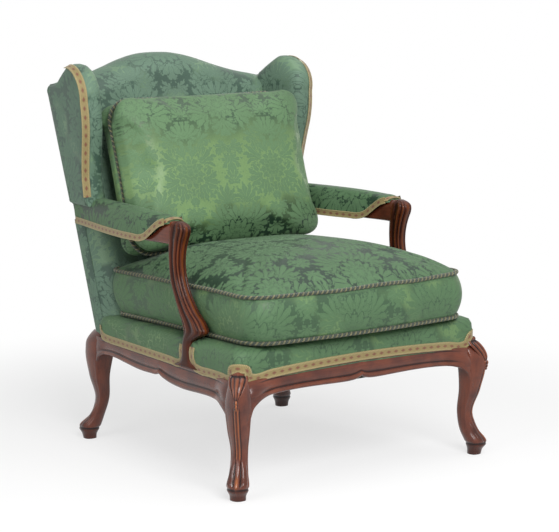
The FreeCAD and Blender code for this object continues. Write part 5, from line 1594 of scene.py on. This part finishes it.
# Stage, light and camera
def floor():
    mesh = bpy.data.meshes.new("floor")
    reach = 30.0
    corners = [(-reach, -reach, 0), (reach, -reach, 0), (reach, reach, 0), (-reach, reach, 0)]
    mesh.from_pydata(corners, [], [(0, 1, 2, 3)])
    made = add_object("floor", mesh)
    shader = Shader("floor_white")
    shader.set(Base_Color=(0.86, 0.86, 0.86), Roughness=0.9, Specular_IOR_Level=0.0)
    rays = shader.node("ShaderNodeLightPath")
    glow = shader.node("ShaderNodeEmission")
    mixed = shader.node("ShaderNodeMixShader")
    seen = Wire(shader, rays.outputs["Is Camera Ray"]).most(Wire(shader, rays.outputs["Is Glossy Ray"]))
    x, y, _ = shader.separate(shader.place())
    away = shader.math("SQRT", x * x + y * y)
    shader.link(seen * (shader.step(away, 0.75, 1.7) * 0.34 + 0.66), mixed.inputs["Fac"])
    shader.tree.links.new(shader.surface.outputs[0], mixed.inputs[1])
    shader.tree.links.new(glow.outputs[0], mixed.inputs[2])
    output = shader.tree.nodes["Material Output"]
    shader.tree.links.new(mixed.outputs[0], output.inputs["Surface"])
    mesh.materials.append(shader.material)


WORLD_LIGHT = 0.27


def world():
    made = bpy.data.worlds.new("studio")
    bpy.context.scene.world = made
    made.use_nodes = True
    nodes = Nodes(made.node_tree)
    rays = nodes.node("ShaderNodeLightPath")
    camera_ray, glossy_ray, transmission_ray = (
        Wire(nodes, rays.outputs[f"Is {kind} Ray"]) for kind in ("Camera", "Glossy", "Transmission"))
    seen = camera_ray.most(glossy_ray.most(transmission_ray))
    background = nodes.tree.nodes["Background"]
    background.inputs["Color"].default_value = (1.0, 1.0, 1.0, 1.0)
    nodes.link(seen * (1.0 - WORLD_LIGHT) + WORLD_LIGHT, background.inputs["Strength"])


def softbox(name, place, target, size, power):
    lamp = bpy.data.lights.new(name, "AREA")
    lamp.shape = "SQUARE"
    lamp.size = size
    lamp.energy = power
    made = add_object(name, lamp)
    made.location = place
    made.rotation_euler = (Vector(target) - Vector(place)).to_track_quat("-Z", "Y").to_euler()


CAMERA_PLACE = (-3.104, -4.1915, 1.274)
CAMERA_YAW = math.radians(37.24)
CAMERA_PITCH = math.radians(8.87)
CAMERA_LENS = 132.97


def camera():
    data = bpy.data.cameras.new("camera")
    data.lens = CAMERA_LENS
    data.sensor_width = 36.0
    made = add_object("camera", data)
    made.location = CAMERA_PLACE
    made.rotation_euler = (math.pi / 2 - CAMERA_PITCH, 0.0, -CAMERA_YAW)
    bpy.context.scene.camera = made


floor()
world()
softbox("key", (-1.0, -3.2, 2.6), (0.0, 0.0, 0.55), 2.0, 140.0)
softbox("fill_left", (-3.6, -0.6, 2.0), (0.0, 0.0, 0.5), 2.2, 45.0)
softbox("top", (0.6, -0.6, 3.4), (0.0, 0.0, 0.5), 2.6, 42.0)
camera()
bpy.context.scene.view_settings.view_transform = "Standard"
